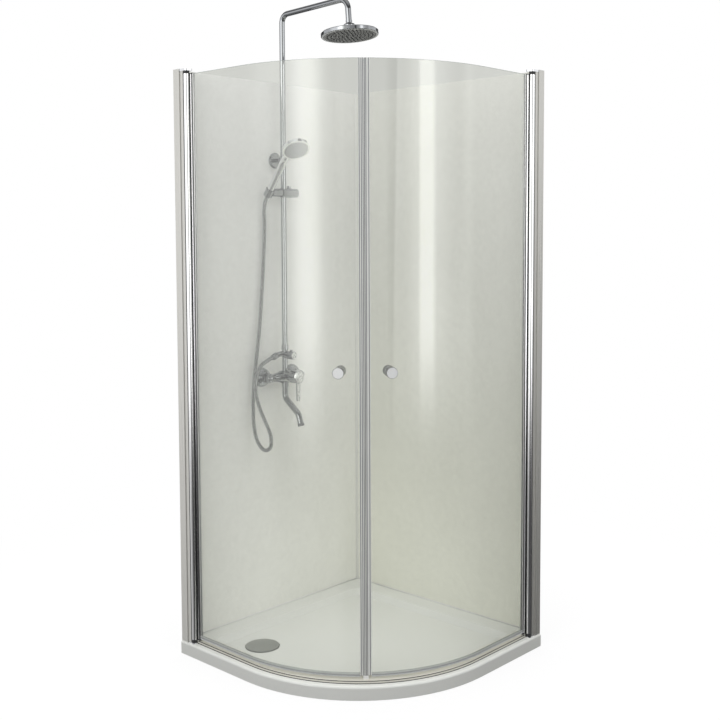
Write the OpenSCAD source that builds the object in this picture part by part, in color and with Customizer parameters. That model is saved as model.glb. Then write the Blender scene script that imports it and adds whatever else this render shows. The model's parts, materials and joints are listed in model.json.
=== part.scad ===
// Corner shower enclosure: quadrant tray, two pivoting curved glass doors, and a
// riser shower set on the left wall. Millimetres, +Z up. The origin is on the floor
// in the middle of the tray's square; the walls stand at -X and at +Y.
// Parts of the right side are the left side's, mirrored across the diagonal.

/* [Enclosure] */
// Side of the square that the tray fills, mm
tray_w = 900; // [860:10:1000]
// Radius of the tray's rounded front, mm
tray_r = 550; // [500:10:600]
// Height of the tray, mm
tray_h = 45; // [40:1:60]
// Depth of the basin below the tray's rim, mm
basin_drop = 17; // [12:1:20]
// Width of the rim along the walls, mm
wall_ledge = 78; // [66:2:110]
// Width of the rim along the open front, mm
front_ledge = 62; // [60:1:80]
// Bore of the waste outlet, mm
waste_bore = 80; // [70:1:84]
// Diameter of the waste cover, mm
waste_cover_d = 118; // [112:1:126]
// Top of the wall profiles above the floor, mm
enclosure_h = 2025; // [1900:5:2060]
// Thickness of the wall panels, mm
panel_t = 6; // [4:1:8]

/* [Doors] */
// Thickness of the door glass, mm
glass_t = 6; // [5:1:8]
// Distance from the tray's front edge to the middle of the glass, mm
glass_inset = 28; // [26:1:32]
// Radius of the door glass in plan, mm
glass_r = 550; // [520:10:570]
// Outer diameter of the hinge post, mm
post_d = 20; // [18:1:22]
// Wall of the hinge post, mm
post_wall = 2; // [1.5:0.25:3]
// Diameter of the pivot pins, mm
pin_d = 8; // [6:0.5:9]
// Height of the door knobs above the floor, mm
knob_z = 1038; // [900:2:1200]
// Diameter of a door knob, mm
knob_d = 36; // [28:1:44]
// Length of a door knob, mm
knob_len = 28; // [18:1:40]
// Distance of the knobs from the closing edge, mm
knob_edge = 80; // [60:2:120]

/* [Profiles] */
// Width of the wall channel, mm
channel_w = 30; // [29:0.5:31]
// Depth of the wall channel from the wall, mm
channel_d = 32; // [28:1:33]
// Thickness of the channel's legs, mm
channel_t = 2; // [1.5:0.25:2.25]
// Height of the sill strip's upstand above the tray, mm
upstand_h = 17; // [14:0.5:17.5]

/* [Shower set] */
// Height of the mixer above the floor, mm
mixer_z = 936; // [900:2:1000]
// Spacing of the two wall inlets, mm
inlet_pitch = 150; // [144:1:156]
// Diameter of the mixer body's middle, mm
mixer_d = 44; // [40:1:48]
// Diameter of the riser pipe, mm
riser_d = 20; // [18:0.5:22]
// Height of the overhead arm at the riser, mm
arm_z = 2265; // [2200:5:2300]
// Reach of the overhead arm from the riser, mm
arm_reach = 332; // [300:2:360]
// Diameter of the overhead head, mm
head_d = 200; // [160:2:260]
// Height of the slider on the riser, mm
slider_z = 1619; // [1600:1:1640]
// Diameter of the slider's barrel, mm
slider_d = 35; // [32:0.5:38]
// Diameter of the hand shower's head, mm
handset_d = 97; // [86:1:110]
// Diameter of the hose, mm
hose_d = 14; // [13:0.5:14.5]

/* [Hidden] */
$fn = 96;
half = tray_w / 2;
tray_c = tray_r - half;
run_gap = 0.3;
pin_fit = 0.05;
slip = 0.1;

// Basin and waste.
edge_r = 8;
basin_run = 30;
basin_corner = 45;
floor_z = tray_h - basin_drop;
waste_xy = [-half + 218, -half + 186];
waste_lip = 2;
seat_drop = 5;
seat_z = floor_z - seat_drop;
web_t = 11;
web_z = seat_z - web_t;
gasket_t = 1;
rim_t = 2;
cover_r = waste_cover_d / 2;
rim_z = seat_z + gasket_t;
rim_top = rim_z + rim_t;
tube_r = waste_bore / 2 + 4;
foot_h = 3;
cover_t = 3;
tube_z = 2;
socket_z = 15;
throat_r = waste_bore / 2 - 1;

// Wall profile, seen from above at the left wall.
wall_x = -half;
face_x = wall_x + panel_t;
ch_y0 = -half + 4;
ch_y1 = ch_y0 + channel_w;
ch_x1 = wall_x + channel_d;
prof_z1 = enclosure_h - 8.5;
post_r = post_d / 2;
cove_gap = 1.6;
cove_r = post_r + cove_gap;
post_x = wall_x + channel_d + 14 + post_r;
post_y = -half + glass_inset - 12;
adj_y0 = ch_y0 + channel_t + 0.6;
adj_y1 = ch_y1 - channel_t;
adj_t = 2;
adj_x0 = wall_x + 8;
adj_x1 = post_x - post_r;
port_r = 2;
port_x = adj_x1 - 5;
port_ys = [adj_y0 + 4, adj_y1 - 5.5];
clamp_x = ch_x1 - 12;
clamp_zs = [300, enclosure_h / 2, enclosure_h - 300];
wall_hole_r = 3;
wall_hole_zs = [250, enclosure_h - 175];

// Door stack, from the tray up.
plate_t = 4;
plate_z1 = tray_h + plate_t;
flange_t = 10;
post_z0 = plate_z1 + run_gap + flange_t;
top_plate_z = prof_z1;
top_plate_t = 7.5;
post_z1 = top_plate_z - 9.5;
bush_top = top_plate_z - 0.5;
bush_r = post_r + 0.6;
bore_r = post_r - post_wall;
pin_r = pin_d / 2;
bush_len = 22;
glass_z0 = tray_h + 25;
glass_z1 = post_z1;
glass_h = glass_z1 - glass_z0;

// Glass in plan: it starts in the post's pocket and follows the tray's front.
glass_c = glass_r + glass_inset - half;
glass_y = -half + glass_inset;
pocket_y = glass_y - post_y;
glaze_t = 1;
pocket_wall = 1.5;
pocket_r = glass_t / 2 + glaze_t + pocket_wall;
pocket_x0 = 8;
pocket_x1 = 20;
glass_x0 = post_x + pocket_x0 + glaze_t;
lip_t = 1.4;
seam_gap = 0.4;
seal_len = 18;
seal_slot = 8.8;
glass_back = 9;
seal_wall = 1.5;
seal_fit = 0.1;
stop_w = 17;
stop_z1 = tray_h + 21;
mag_z0 = stop_z1 + 1;
fin_z = tray_h + upstand_h + 1;
seal_back = seal_len + 0.4;
knob_a = knob_edge / glass_r * 180 / PI;
stud_r = 3;
washer_t = 1;
washer_gap = 0.25;
glass_hole_r = 6;

// Shower set on the left wall.
set_x = -half + 54;
set_y = 6;
riser_r = riser_d / 2;
inlet_dy = inlet_pitch / 2;
rosette_r = 36;
rosette_in = 4;
union_r = 10.5;
nut_x0 = set_x - 21;
nut_x1 = set_x - 11;
inlet_bore = 7;
ball_r = 17;
lever_z = mixer_z + 4;
house_r = 17;
pivot_x = set_x + 44;
dome_r = 22;
cap_r = 24.6;
cap_len = 36;
boss_z = mixer_z - mixer_d / 2 - 2;
spout_r = 11;
spout_wall = 2.5;
spout_drop = 81;
spout_side = 87.2;
spout_a1 = 53.4;
spout_a2 = 34.2;
spout_tail = 28;
spout_l1 = boss_z - run_gap - mixer_z + spout_drop - 30 * tan(spout_a1 / 2);
spout_l2 = spout_side - 30 * tan(spout_a1 / 2) - 30 * tan(spout_a2 / 2);
flare_z = mixer_z + mixer_d / 2;
div_z = flare_z + 60;
div_top = div_z + 17;
coupling_h = 23;
div_face = set_x + 24;
div_knob_r = 15;

// Outlet stub of the hose valve, towards the front and a little down.
stub_a = 16;
stub_bend = 40;
stub_run = 24;
stub_tail = 9;
hose_r = hose_d / 2;

// Overhead arm: up the wall, out over the tray, down to the ball joint.
arm_rise = 2;
drop_lean = 5;
bend_1 = 30;
bend_2 = 38;
arm_t1 = bend_1 * tan((90 - arm_rise) / 2);
arm_t2 = bend_2 * tan((90 + arm_rise - drop_lean) / 2);
arm_len = arm_reach / cos(arm_rise);
arm_end_z = arm_z + arm_reach * tan(arm_rise);
drop_len = 82;
ball_t = 94;
ball_x = set_x + arm_reach + ball_t * sin(drop_lean);
ball_z = arm_end_z - ball_t * cos(drop_lean);
ball_pin = 9;
ball_gap = 0.4;
collar_r = 19;
head_r = head_d / 2;
head_w0 = -37;
head_rim = 15;

// Slider, holder and hand shower.
bracket_z = slider_z + 120;
holder_r = 15;
holder_y = set_y - 71;
seat_r = 16.5;
tilt = 36;
turn = 14.5;
nod = 19.5;
cone_w0 = -22;
cone_w1 = holder_r;
cone_r0 = 9;
cone_r1 = 12;
head_at = [34, 212];
grip_len = 122;
neck_bend = 70;
neck_a = 22;
neck_len = 48;
hand_r = handset_d / 2;

// Hose route, chosen by hand: out of the valve, down a slack loop and up to the holder.
hose_end_w = -10;
stub_y = stub_run + stub_bend * sin(stub_a) + stub_tail * cos(stub_a);
stub_dz = stub_bend * (1 - cos(stub_a)) + stub_tail * sin(stub_a);
hose_in = 12;
hose_p0 = [
  set_x,
  set_y - stub_y - hose_in * cos(stub_a),
  div_z + 4 - stub_dz - hose_in * sin(stub_a)
];
hose_d0 = [0, -cos(stub_a), -sin(stub_a)];
seat_dir = [sin(tilt), 0, cos(tilt)];
hose_p1 = [set_x, holder_y, slider_z] + hose_end_w * seat_dir;
hose_route = [
  [-389, -94, 1002],
  [-382, -116, 996],
  [-372, -141, 984],
  [-361, -163, 964],
  [-350, -180, 935],
  [-338, -188, 892],
  [-323, -183, 843],
  [-311, -170, 798],
  [-303, -158, 762],
  [-302, -151, 735],
  [-310, -145, 709],
  [-330, -139, 691],
  [-356, -134, 684],
  [-382, -131, 692],
  [-401, -130, 711],
  [-411, -131, 737],
  [-417, -133, 776],
  [-421, -131, 823],
  [-423, -128, 874],
  [-424, -122, 936],
  [-425, -111, 1001],
  [-426, -100, 1066],
  [-427, -90, 1132],
  [-428, -75, 1279],
  [-429, -63, 1427],
  [-429, -60, 1505],
  [-426, -63, 1556]
];
rib_pitch_count = 150;
hose_sides = 8;
hose_bore = hose_r - 2;
rib_h = 0.9;

// Shared forms.

module right_side() {
  mirror([1, 1, 0]) children();
}

module both_sides() {
  children();
  right_side() children();
}

module box(a, b) {
  translate(a) cube(b - a);
}

// Square with its front corner rounded, c being the offset of the arc's centre.
module quadrant(side, c, r, h) {
  difference() {
    translate([-side, -side, 0]) cube([2 * side, 2 * side, h]);
    difference() {
      translate([-c, c - r - 1, -1]) cube([r + 1, r + 1, h + 2]);
      translate([-c, c, -2]) cylinder(r = r, h = h + 4, $fn = 192);
    }
  }
}

// Straight run along the left front, profile x outwards and y up.
module front_run(c, r, run) {
  translate([-c, c - r, 0])
    rotate([90, 0, -90])
      linear_extrude(run) children();
}

// Arc of the front, from a0 to a0 + a degrees past the left tangent point.
module front_arc(c, r, a0, a) {
  translate([-c, c, 0])
    rotate([0, 0, a0 - 90])
      rotate_extrude(angle = a, $fn = 240)
        translate([r, 0]) children();
}

module whole_front(c, r, run) {
  front_run(c, r, run) children();
  front_arc(c, r, 0, 90) children();
  right_side() front_run(c, r, run) children();
}

// Path of the left door: straight from x0 to the tangent point, then round to angle a.
module door_path(x0, a) {
  front_run(glass_c, glass_r, -glass_c - x0) children();
  front_arc(glass_c, glass_r, 0, a) children();
}

// Degrees of the door's arc for a length measured on the glass.
function arc_deg(len) = len / glass_r * 180 / PI;

module at_post() {
  translate([post_x, post_y, 0]) children();
}

// Frame on the glass at the knob: +Z points out of the enclosure.
module at_knob() {
  translate([-glass_c, glass_c, knob_z])
    rotate([0, 0, -45 - knob_a])
      translate([glass_r, 0, 0])
        rotate([0, 90, 0]) children();
}

// Pipe pieces with bore b: each is drawn along +Z, bends turn it towards +X.
module pipe(r, b, h) {
  linear_extrude(h) difference() {
    circle(r);
    circle(b);
  }
}

// A bend runs a little way into the straight pipes at its ends, inside their walls.
module bend_piece(bend, a, r, b) {
  lap = 1;
  skin_in = 0.05;
  translate([bend, 0, 0])
    rotate([90, 0, 180])
      rotate([0, 0, -lap])
        rotate_extrude(angle = a + 2 * lap)
          translate([bend, 0]) difference() {
            circle(r - skin_in);
            circle(b + skin_in);
          }
}

module after_bend(bend, a) {
  translate([bend, 0, 0])
    rotate([0, a, 0])
      translate([-bend, 0, 0]) children();
}

module hex(r, h) {
  cylinder(r = r, h = h, $fn = 6);
}

module along_x() {
  rotate([0, 90, 0]) children();
}

module along_y() {
  rotate([-90, 0, 0]) children();
}

// Tray and waste.

module basin_slab(inset, z) {
  c = tray_c;
  x0 = -half + wall_ledge + inset;
  y0 = -half + front_ledge + inset;
  r = basin_corner - inset / 2;
  h = 0.4;
  translate([x0 + r, -x0 - r, z]) cylinder(r = r, h = h, $fn = 48);
  translate([x0 + r, y0 + r, z]) cylinder(r = r, h = h, $fn = 48);
  translate([-y0 - r, -x0 - r, z]) cylinder(r = r, h = h, $fn = 48);
  intersection() {
    translate([-c, c, z])
      cylinder(r = tray_r - front_ledge - inset, h = h, $fn = 160);
    translate([-c, c - tray_r, z - 1]) cube([tray_r, tray_r, h + 2]);
  }
}

module shower_tray() {
  color("white")
  difference() {
    quadrant(half, tray_c, tray_r, tray_h);
    hull() {
      basin_slab(0, tray_h);
      basin_slab(basin_run, floor_z);
    }
    whole_front(tray_c, tray_r, half - tray_c + 1)
      difference() {
        translate([-edge_r, tray_h - edge_r]) square(edge_r + 2);
        translate([-edge_r, tray_h - edge_r]) circle(edge_r);
      }
    translate([waste_xy[0], waste_xy[1], 0]) {
      translate([0, 0, seat_z])
        cylinder(r = waste_cover_d / 2 + waste_lip, h = seat_drop + 1);
      translate([0, 0, web_z - 1]) cylinder(r = tube_r + 2, h = web_t + 2);
      translate([0, 0, -1]) cylinder(r = tube_r + 31, h = web_z + 1);
    }
  }
}

module waste_flange() {
  color("silver")
  translate([waste_xy[0], waste_xy[1], 0])
  difference() {
    union() {
      translate([0, 0, rim_z]) cylinder(r = waste_cover_d / 2 - 1, h = rim_t);
      translate([0, 0, tube_z]) cylinder(r = tube_r, h = rim_top - tube_z);
    }
    translate([0, 0, tube_z - 1]) cylinder(r = throat_r, h = rim_top + 2);
    translate([0, 0, tube_z - 1]) cylinder(r = waste_bore / 2, h = socket_z - tube_z + 1);
    translate([0, 0, socket_z]) cylinder(r = waste_bore / 2 + 1, h = 1);
  }
}

module waste_gasket() {
  color("black")
  translate([waste_xy[0], waste_xy[1], seat_z])
  difference() {
    cylinder(r = waste_cover_d / 2 - 2, h = gasket_t);
    translate([0, 0, -1]) cylinder(r = tube_r + 2.5, h = gasket_t + 2);
  }
}

module waste_locknut() {
  color("dimgray")
  translate([waste_xy[0], waste_xy[1], web_z - 8])
  difference() {
    cylinder(r = tube_r + 11, h = 8);
    translate([0, 0, -1]) cylinder(r = tube_r + slip, h = 10);
    for (i = [0:7])
      rotate([0, 0, i * 45])
        translate([tube_r + 12, 0, -1]) cylinder(r = 5, h = 10, $fn = 32);
  }
}

module waste_cover() {
  color("silver")
  translate([waste_xy[0], waste_xy[1], rim_top]) {
    rotate_extrude() polygon([
      [0, foot_h], [cover_r, foot_h], [cover_r, foot_h + cover_t - 1.6],
      [cover_r - 1, foot_h + cover_t - 1], [cover_r - 12, foot_h + cover_t - 0.4],
      [cover_r - 32, foot_h + cover_t - 0.1], [0, foot_h + cover_t]
    ]);
    for (i = [0:3])
      rotate([0, 0, i * 90 + 45])
        translate([waste_bore / 2 + 6, 0, 0]) cylinder(r = 4, h = foot_h + 0.5);
    difference() {
      translate([0, 0, socket_z + 1 - rim_top])
        cylinder(r = throat_r - 0.5, h = rim_top - socket_z + foot_h - 0.5);
      translate([0, 0, -11]) cylinder(r = throat_r - 3, h = foot_h + 12);
      for (i = [0:1])
        rotate([0, 0, i * 90])
          translate([-waste_bore, -9, -7]) cube([2 * waste_bore, 18, 6]);
    }
  }
}

// Walls.

module wall_panel_left() {
  color("whitesmoke")
  difference() {
    box([wall_x, ch_y1, tray_h], [face_x, half, enclosure_h]);
    for (s = [-1, 1])
      translate([wall_x - 1, set_y + s * inlet_dy, mixer_z])
        along_x() cylinder(r = union_r + 5, h = panel_t + 2);
    translate([wall_x - 1, set_y, bracket_z])
      along_x() cylinder(r = 4, h = panel_t + 2);
  }
}

module wall_panel_right() {
  color("whitesmoke")
  box([face_x, half - panel_t, tray_h], [-ch_y1, half, enclosure_h]);
}

module corner_strip() {
  color("white")
  difference() {
    box([face_x, -face_x - 8, tray_h], [face_x + 8, -face_x, enclosure_h]);
    translate([face_x + 8, -face_x - 8, tray_h - 1]) cylinder(r = 7, h = enclosure_h);
  }
}

// Wall profiles.

module channel_form() {
  difference() {
    box([wall_x, ch_y0, tray_h], [ch_x1, ch_y1, enclosure_h - 1.5]);
    box([wall_x + 2.4, ch_y0 + channel_t, tray_h - 1],
        [ch_x1 + 1, ch_y1 - channel_t, enclosure_h]);
    for (z = wall_hole_zs)
      translate([wall_x - 1, (ch_y0 + ch_y1) / 2, z])
        along_x() cylinder(r = wall_hole_r, h = 5);
    for (z = clamp_zs)
      translate([clamp_x, ch_y1 - channel_t - 1, z])
        along_y() cylinder(r = port_r + slip, h = channel_t + 2);
  }
}

module adjusting_form() {
  cy = (adj_y0 + adj_y1) / 2;
  difference() {
    union() {
      box([adj_x0, adj_y0, tray_h], [adj_x1, adj_y1, prof_z1]);
      box([adj_x1 - 1, adj_y0, tray_h], [adj_x1 + 4.2, post_y - 2, prof_z1]);
    }
    box([adj_x0 + adj_t, adj_y0 + adj_t - 0.2, tray_h - 1],
        [port_x - port_r - 2, adj_y1 - adj_t, prof_z1 + 1]);
    box([adj_x0 - 1, adj_y0 + 7, tray_h - 1],
        [adj_x0 + adj_t + 1, adj_y1 - 7, prof_z1 + 1]);
    at_post() translate([0, 0, tray_h - 1]) cylinder(r = cove_r, h = prof_z1);
    at_post() translate([-cove_r, 0, tray_h - 1]) cylinder(r = 1.2, h = prof_z1, $fn = 32);
    for (y = port_ys)
      translate([port_x, y, tray_h - 1]) cylinder(r = port_r, h = prof_z1, $fn = 48);
    for (z = clamp_zs)
      translate([clamp_x, adj_y1 - adj_t - 1, z])
        along_y() cylinder(r = port_r + slip, h = adj_t + 2);
    box([port_x - 7, adj_y0 - 1, tray_h - 1],
        [adj_x1 + 6, adj_y1 + 1, plate_z1 + 0.2]);
  }
}

module post_gasket_form() {
  at_post() translate([0, 0, plate_z1 + run_gap]) {
    rotate([0, 0, 152])
      rotate_extrude(angle = 84)
        translate([bush_r + 0.3, 0]) square([cove_r - bush_r - 0.3, post_z1 - plate_z1]);
    translate([-cove_r, 0, 0])
      cylinder(r = 0.6, h = post_z1 - plate_z1, $fn = 32);
  }
}

module cap_form() {
  box([wall_x, ch_y0, enclosure_h - 1.5], [ch_x1, ch_y1, enclosure_h]);
  box([wall_x + 2.4, ch_y0 + channel_t, prof_z1],
      [adj_x0 - 0.4, ch_y1 - channel_t, enclosure_h - 1.4]);
}

module clamp_screw_form() {
  for (z = clamp_zs)
    translate([clamp_x, ch_y1, z]) {
      along_y() cylinder(r = 4, h = 2.5);
      translate([0, -8, 0]) along_y() cylinder(r = port_r, h = 8.1);
    }
}

module plate_screw_form() {
  for (y = port_ys)
    translate([port_x, y, top_plate_z + top_plate_t]) {
      translate([0, 0, -2]) cylinder(r1 = 2, r2 = 3.7, h = 2);
      translate([0, 0, -28]) cylinder(r = port_r - slip, h = 26.5);
    }
}

module bottom_bracket_form() {
  at_post() {
    translate([0, 0, tray_h]) cylinder(r = post_r + 1, h = plate_t);
    translate([0, 0, tray_h]) cylinder(r = pin_r, h = plate_t + 26);
  }
  box([port_x - 7, post_y - 8, tray_h], [post_x, post_y + 8, plate_z1]);
}

module top_bracket_form() {
  x0 = port_x - 7;
  x1 = post_x + 14;
  y0 = ch_y0 + 1;
  y1 = ch_y1;
  r = 8;
  z0 = top_plate_z;
  difference() {
    union() {
      box([x0, y0, z0], [x1 - r, y1, z0 + top_plate_t]);
      box([x1 - r - 1, y0 + r, z0], [x1, y1 - r, z0 + top_plate_t]);
      translate([x1 - r, y0 + r, z0]) cylinder(r = r, h = top_plate_t);
      translate([x1 - r, y1 - r, z0]) cylinder(r = r, h = top_plate_t);
      at_post() translate([0, 0, z0 - 26]) cylinder(r = pin_r, h = 26.5);
    }
    for (y = port_ys)
      translate([port_x, y, z0 - 1]) {
        cylinder(r = port_r + slip, h = top_plate_t + 2);
        translate([0, 0, top_plate_t - 1]) cylinder(r1 = 2.1, r2 = 3.8, h = 2);
        translate([0, 0, top_plate_t + 0.99]) cylinder(r = 3.8, h = 1);
      }
  }
}

module wall_channel_left() {
  color("silver") channel_form();
}

module wall_channel_right() {
  color("silver") right_side() channel_form();
}

module adjusting_profile_left() {
  color("silver") adjusting_form();
}

module adjusting_profile_right() {
  color("silver") right_side() adjusting_form();
}

module post_gaskets() {
  color("black") both_sides() post_gasket_form();
}

module channel_caps() {
  color("gainsboro") both_sides() cap_form();
}

module profile_screws() {
  color("gray")
  both_sides() {
    clamp_screw_form();
    plate_screw_form();
  }
}

module bottom_brackets() {
  color("silver") both_sides() bottom_bracket_form();
}

module top_brackets() {
  color("silver") both_sides() top_bracket_form();
}

// Sill.

function sill_top(inset) = tray_h + 9 + (inset - 24) / 26 * 3.5;

module sill_strip() {
  color("silver")
  whole_front(tray_c, tray_r, -tray_c - (post_x + 12))
    polygon([
      [-22, tray_h], [-22, tray_h + 7], [-24, tray_h + 9], [-50, tray_h + 12.5],
      [-50, tray_h + upstand_h], [-54, tray_h + upstand_h], [-56, tray_h],
      [-53.6, tray_h], [-52, tray_h + 10.4], [-50, tray_h + 10.4],
      [-25, tray_h + 7], [-24.2, tray_h]
    ]);
}

module centre_stop() {
  a = stop_w / (tray_r - 41) * 180 / PI;
  color("white")
  front_arc(tray_c, tray_r, 45 - a / 2, a)
    polygon([
      [-34, sill_top(34)], [-48, sill_top(48)], [-48, stop_z1 - 2],
      [-46, stop_z1], [-36, stop_z1], [-34, stop_z1 - 2]
    ]);
}

// Doors.

module glass_form() {
  difference() {
    door_path(glass_x0, 45 - arc_deg(glass_back))
      translate([-glass_t / 2, glass_z0]) square([glass_t, glass_h]);
    at_knob() translate([0, 0, -glass_t]) cylinder(r = glass_hole_r, h = 2 * glass_t);
  }
}

module pocket_plan(z, h) {
  translate([0, pocket_y, z]) cylinder(r = pocket_r, h = h);
  translate([0, pocket_y - pocket_r, z]) cube([pocket_x1, 2 * pocket_r, h]);
}

module post_form() {
  w = pocket_r - pocket_wall;
  at_post() difference() {
    union() {
      translate([0, 0, post_z0]) cylinder(r = post_r, h = post_z1 - post_z0);
      pocket_plan(post_z0, post_z1 - post_z0);
    }
    translate([0, 0, post_z0 - 1]) cylinder(r = bore_r, h = post_z1);
    translate([pocket_x0, pocket_y - w, post_z0 - 1])
      cube([pocket_x1, 2 * w, post_z1]);
  }
}

module bushing_form() {
  at_post() {
    difference() {
      union() {
        translate([0, 0, post_z0 - flange_t]) cylinder(r = bush_r, h = flange_t);
        translate([0, 0, post_z0 - 1]) cylinder(r = bore_r - slip, h = bush_len + 1);
        pocket_plan(post_z0 - 2, 2);
      }
      translate([0, 0, post_z0 - flange_t - 1])
        cylinder(r = pin_r + pin_fit, h = flange_t + bush_len - 2);
    }
    difference() {
      union() {
        translate([0, 0, post_z1]) cylinder(r = bush_r, h = bush_top - post_z1);
        translate([0, 0, post_z1 - bush_len]) cylinder(r = bore_r - slip, h = bush_len + 1);
        pocket_plan(post_z1, 2);
      }
      translate([0, 0, post_z1 - bush_len + 3])
        cylinder(r = pin_r + pin_fit, h = bush_len + 12);
    }
  }
}

module glazing_form() {
  w = glass_t / 2 + glaze_t;
  z0 = post_z0;
  difference() {
    at_post() union() {
      translate([pocket_x0, pocket_y - w, z0])
        cube([pocket_x1 - pocket_x0 + 0.1, 2 * w, post_z1 - z0]);
      translate([pocket_x1, pocket_y - w - 0.6, z0])
        cube([lip_t, 2 * w + 1.2, post_z1 - z0]);
    }
    at_post() translate([pocket_x0 + glaze_t, pocket_y - glass_t / 2, z0 - 1])
      cube([pocket_x1, glass_t, post_z1]);
  }
}

// Closed U on the glass edge with a drip fin below.
module bottom_seal_form() {
  w = glass_t / 2 + seal_fit;
  door_path(post_x + pocket_x1 + lip_t, 45 - arc_deg(seal_back))
    polygon([
      [-w - seal_wall, glass_z0 + 4], [-w, glass_z0 + 4], [-w, glass_z0],
      [w, glass_z0], [w, glass_z0 + 4], [w + seal_wall, glass_z0 + 4],
      [w + seal_wall, glass_z0 - 2], [2, glass_z0 - 3], [4.6, fin_z],
      [3, fin_z], [-1, glass_z0 - 3], [-w - seal_wall, glass_z0 - 2]
    ]);
}

module seal_sector(from_seam, to_seam, t, z0, z1) {
  front_arc(glass_c, glass_r, 45 - arc_deg(to_seam), arc_deg(to_seam - from_seam))
    translate([-t / 2, z0]) square([t, z1 - z0]);
}

module magnet_seal_form() {
  t = glass_t + 2 * seal_fit;
  difference() {
    seal_sector(seam_gap, seal_len, t + 2 * seal_wall, mag_z0, glass_z1);
    seal_sector(seal_slot, seal_len + 2, t, glass_z0 - 10, glass_z1 + 1);
    seal_sector(seam_gap + 1.2, seam_gap + 6.2, glass_t - 0.8, mag_z0 + 1, glass_z1 - 1);
  }
}

module knob_form() {
  z0 = glass_t / 2 + washer_gap + washer_t;
  r = knob_d / 2;
  translate([0, 0, z0])
  difference() {
    union() {
      cylinder(r1 = r - 1, r2 = r, h = 1.01);
      translate([0, 0, 1]) cylinder(r = r, h = knob_len - 2);
      translate([0, 0, knob_len - 1.01]) cylinder(r1 = r, r2 = r - 1, h = 1.01);
    }
    translate([0, 0, -1]) cylinder(r = stud_r + pin_fit, h = 18);
    translate([0, 0, knob_len - 0.6]) cylinder(r = r - 4, h = 1);
  }
}

module knob_pair_form() {
  at_knob() {
    knob_form();
    mirror([0, 0, 1]) knob_form();
  }
}

module washer_form() {
  difference() {
    union() {
      translate([0, 0, glass_t / 2]) cylinder(r = knob_d / 2 - 3, h = washer_t);
      cylinder(r = glass_hole_r - 0.2, h = glass_t / 2 + 0.1);
    }
    translate([0, 0, -1]) cylinder(r = stud_r + pin_fit, h = glass_t);
  }
}

module fixing_form() {
  at_knob() {
    translate([0, 0, washer_gap]) washer_form();
    mirror([0, 0, 1]) translate([0, 0, washer_gap]) washer_form();
    translate([0, 0, -20]) cylinder(r = stud_r, h = 40);
  }
}

module door_glass_left() {
  color([0.7, 0.85, 0.85, 0.4]) glass_form();
}

module door_glass_right() {
  color([0.7, 0.85, 0.85, 0.4]) right_side() glass_form();
}

module hinge_post_left() {
  color("silver") post_form();
}

module hinge_post_right() {
  color("silver") right_side() post_form();
}

module hinge_bushings_left() {
  color("black") bushing_form();
}

module hinge_bushings_right() {
  color("black") right_side() bushing_form();
}

module glazing_gasket_left() {
  color("black") glazing_form();
}

module glazing_gasket_right() {
  color("black") right_side() glazing_form();
}

module bottom_seal_left() {
  color("whitesmoke") bottom_seal_form();
}

module bottom_seal_right() {
  color("whitesmoke") right_side() bottom_seal_form();
}

module magnet_seal_left() {
  color("white") magnet_seal_form();
}

module magnet_seal_right() {
  color("white") right_side() magnet_seal_form();
}

module magnet_strip_form() {
  seal_sector(seam_gap + 1.3, seam_gap + 6.1, glass_t - 1, mag_z0 + 1.5, glass_z1 - 1.5);
}

module magnet_strip_left() {
  color("dimgray") magnet_strip_form();
}

module magnet_strip_right() {
  color("dimgray") right_side() magnet_strip_form();
}

module door_knobs_left() {
  color("silver") knob_pair_form();
}

module door_knobs_right() {
  color("silver") right_side() knob_pair_form();
}

module knob_fixings_left() {
  color("gainsboro") fixing_form();
}

module knob_fixings_right() {
  color("gainsboro") right_side() fixing_form();
}

// Mixer.

module at_set(z) {
  translate([set_x, set_y, z]) children();
}

module wall_rosettes() {
  d = set_x - face_x - 21;
  color("silver")
  for (s = [-1, 1])
    translate([face_x - rosette_in, set_y + s * inlet_dy, mixer_z])
      along_x() rotate_extrude() difference() {
        intersection() {
          circle(rosette_r);
          translate([union_r + slip, rosette_in]) square([rosette_r, d]);
        }
        intersection() {
          circle(rosette_r - 2);
          square([rosette_r, rosette_in + d - 2]);
        }
      }
}

module wall_unions() {
  color("silver")
  for (s = [-1, 1])
    translate([0, set_y + s * inlet_dy, mixer_z])
    difference() {
      union() {
        translate([wall_x, 0, 0])
          along_x() cylinder(r = union_r, h = nut_x0 - wall_x + 1);
        translate([nut_x0, 0, 0]) along_x() hex(ball_r, nut_x1 - nut_x0);
      }
      translate([wall_x - 1, 0, 0])
        along_x() cylinder(r = inlet_bore, h = nut_x1 - wall_x + 2);
    }
}

module mixer_body() {
  mr = mixer_d / 2;
  color("silver")
  difference() {
    union() {
      at_set(mixer_z) along_y() rotate_extrude() intersection() {
        translate([0, -200]) square([60, 400]);
        union() {
          for (s = [-1, 1]) translate([0, s * inlet_dy]) circle(ball_r);
          polygon([
            [0, -inlet_dy], [14, -inlet_dy], [14, -mr - 36], [mr - 1, -mr], [mr, -mr],
            [mr, mr], [mr - 1, mr], [14, mr + 36], [14, inlet_dy], [0, inlet_dy]
          ]);
        }
      }
      at_set(lever_z) along_x() cylinder(r = house_r, h = pivot_x - set_x - 14);
      at_set(mixer_z) cylinder(r = 16, h = mr);
      at_set(mixer_z + mr - 4) cylinder(r1 = 16, r2 = 10.5, h = 4);
      at_set(boss_z) cylinder(r = 14, h = mixer_z - boss_z);
    }
    box([set_x - 40, set_y - 120, mixer_z - 40], [nut_x1, set_y + 120, mixer_z + 40]);
    at_set(mixer_z) for (s = [-1, 1])
      translate([nut_x1 - set_x - 1, s * inlet_dy, 0])
        along_x() cylinder(r = inlet_bore, h = 14);
    translate([pivot_x - 36, set_y, lever_z])
      along_x() cylinder(r = 8 + pin_fit, h = 40);
    at_set(boss_z - 1) cylinder(r = 8 + pin_fit, h = 14);
  }
}

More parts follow.
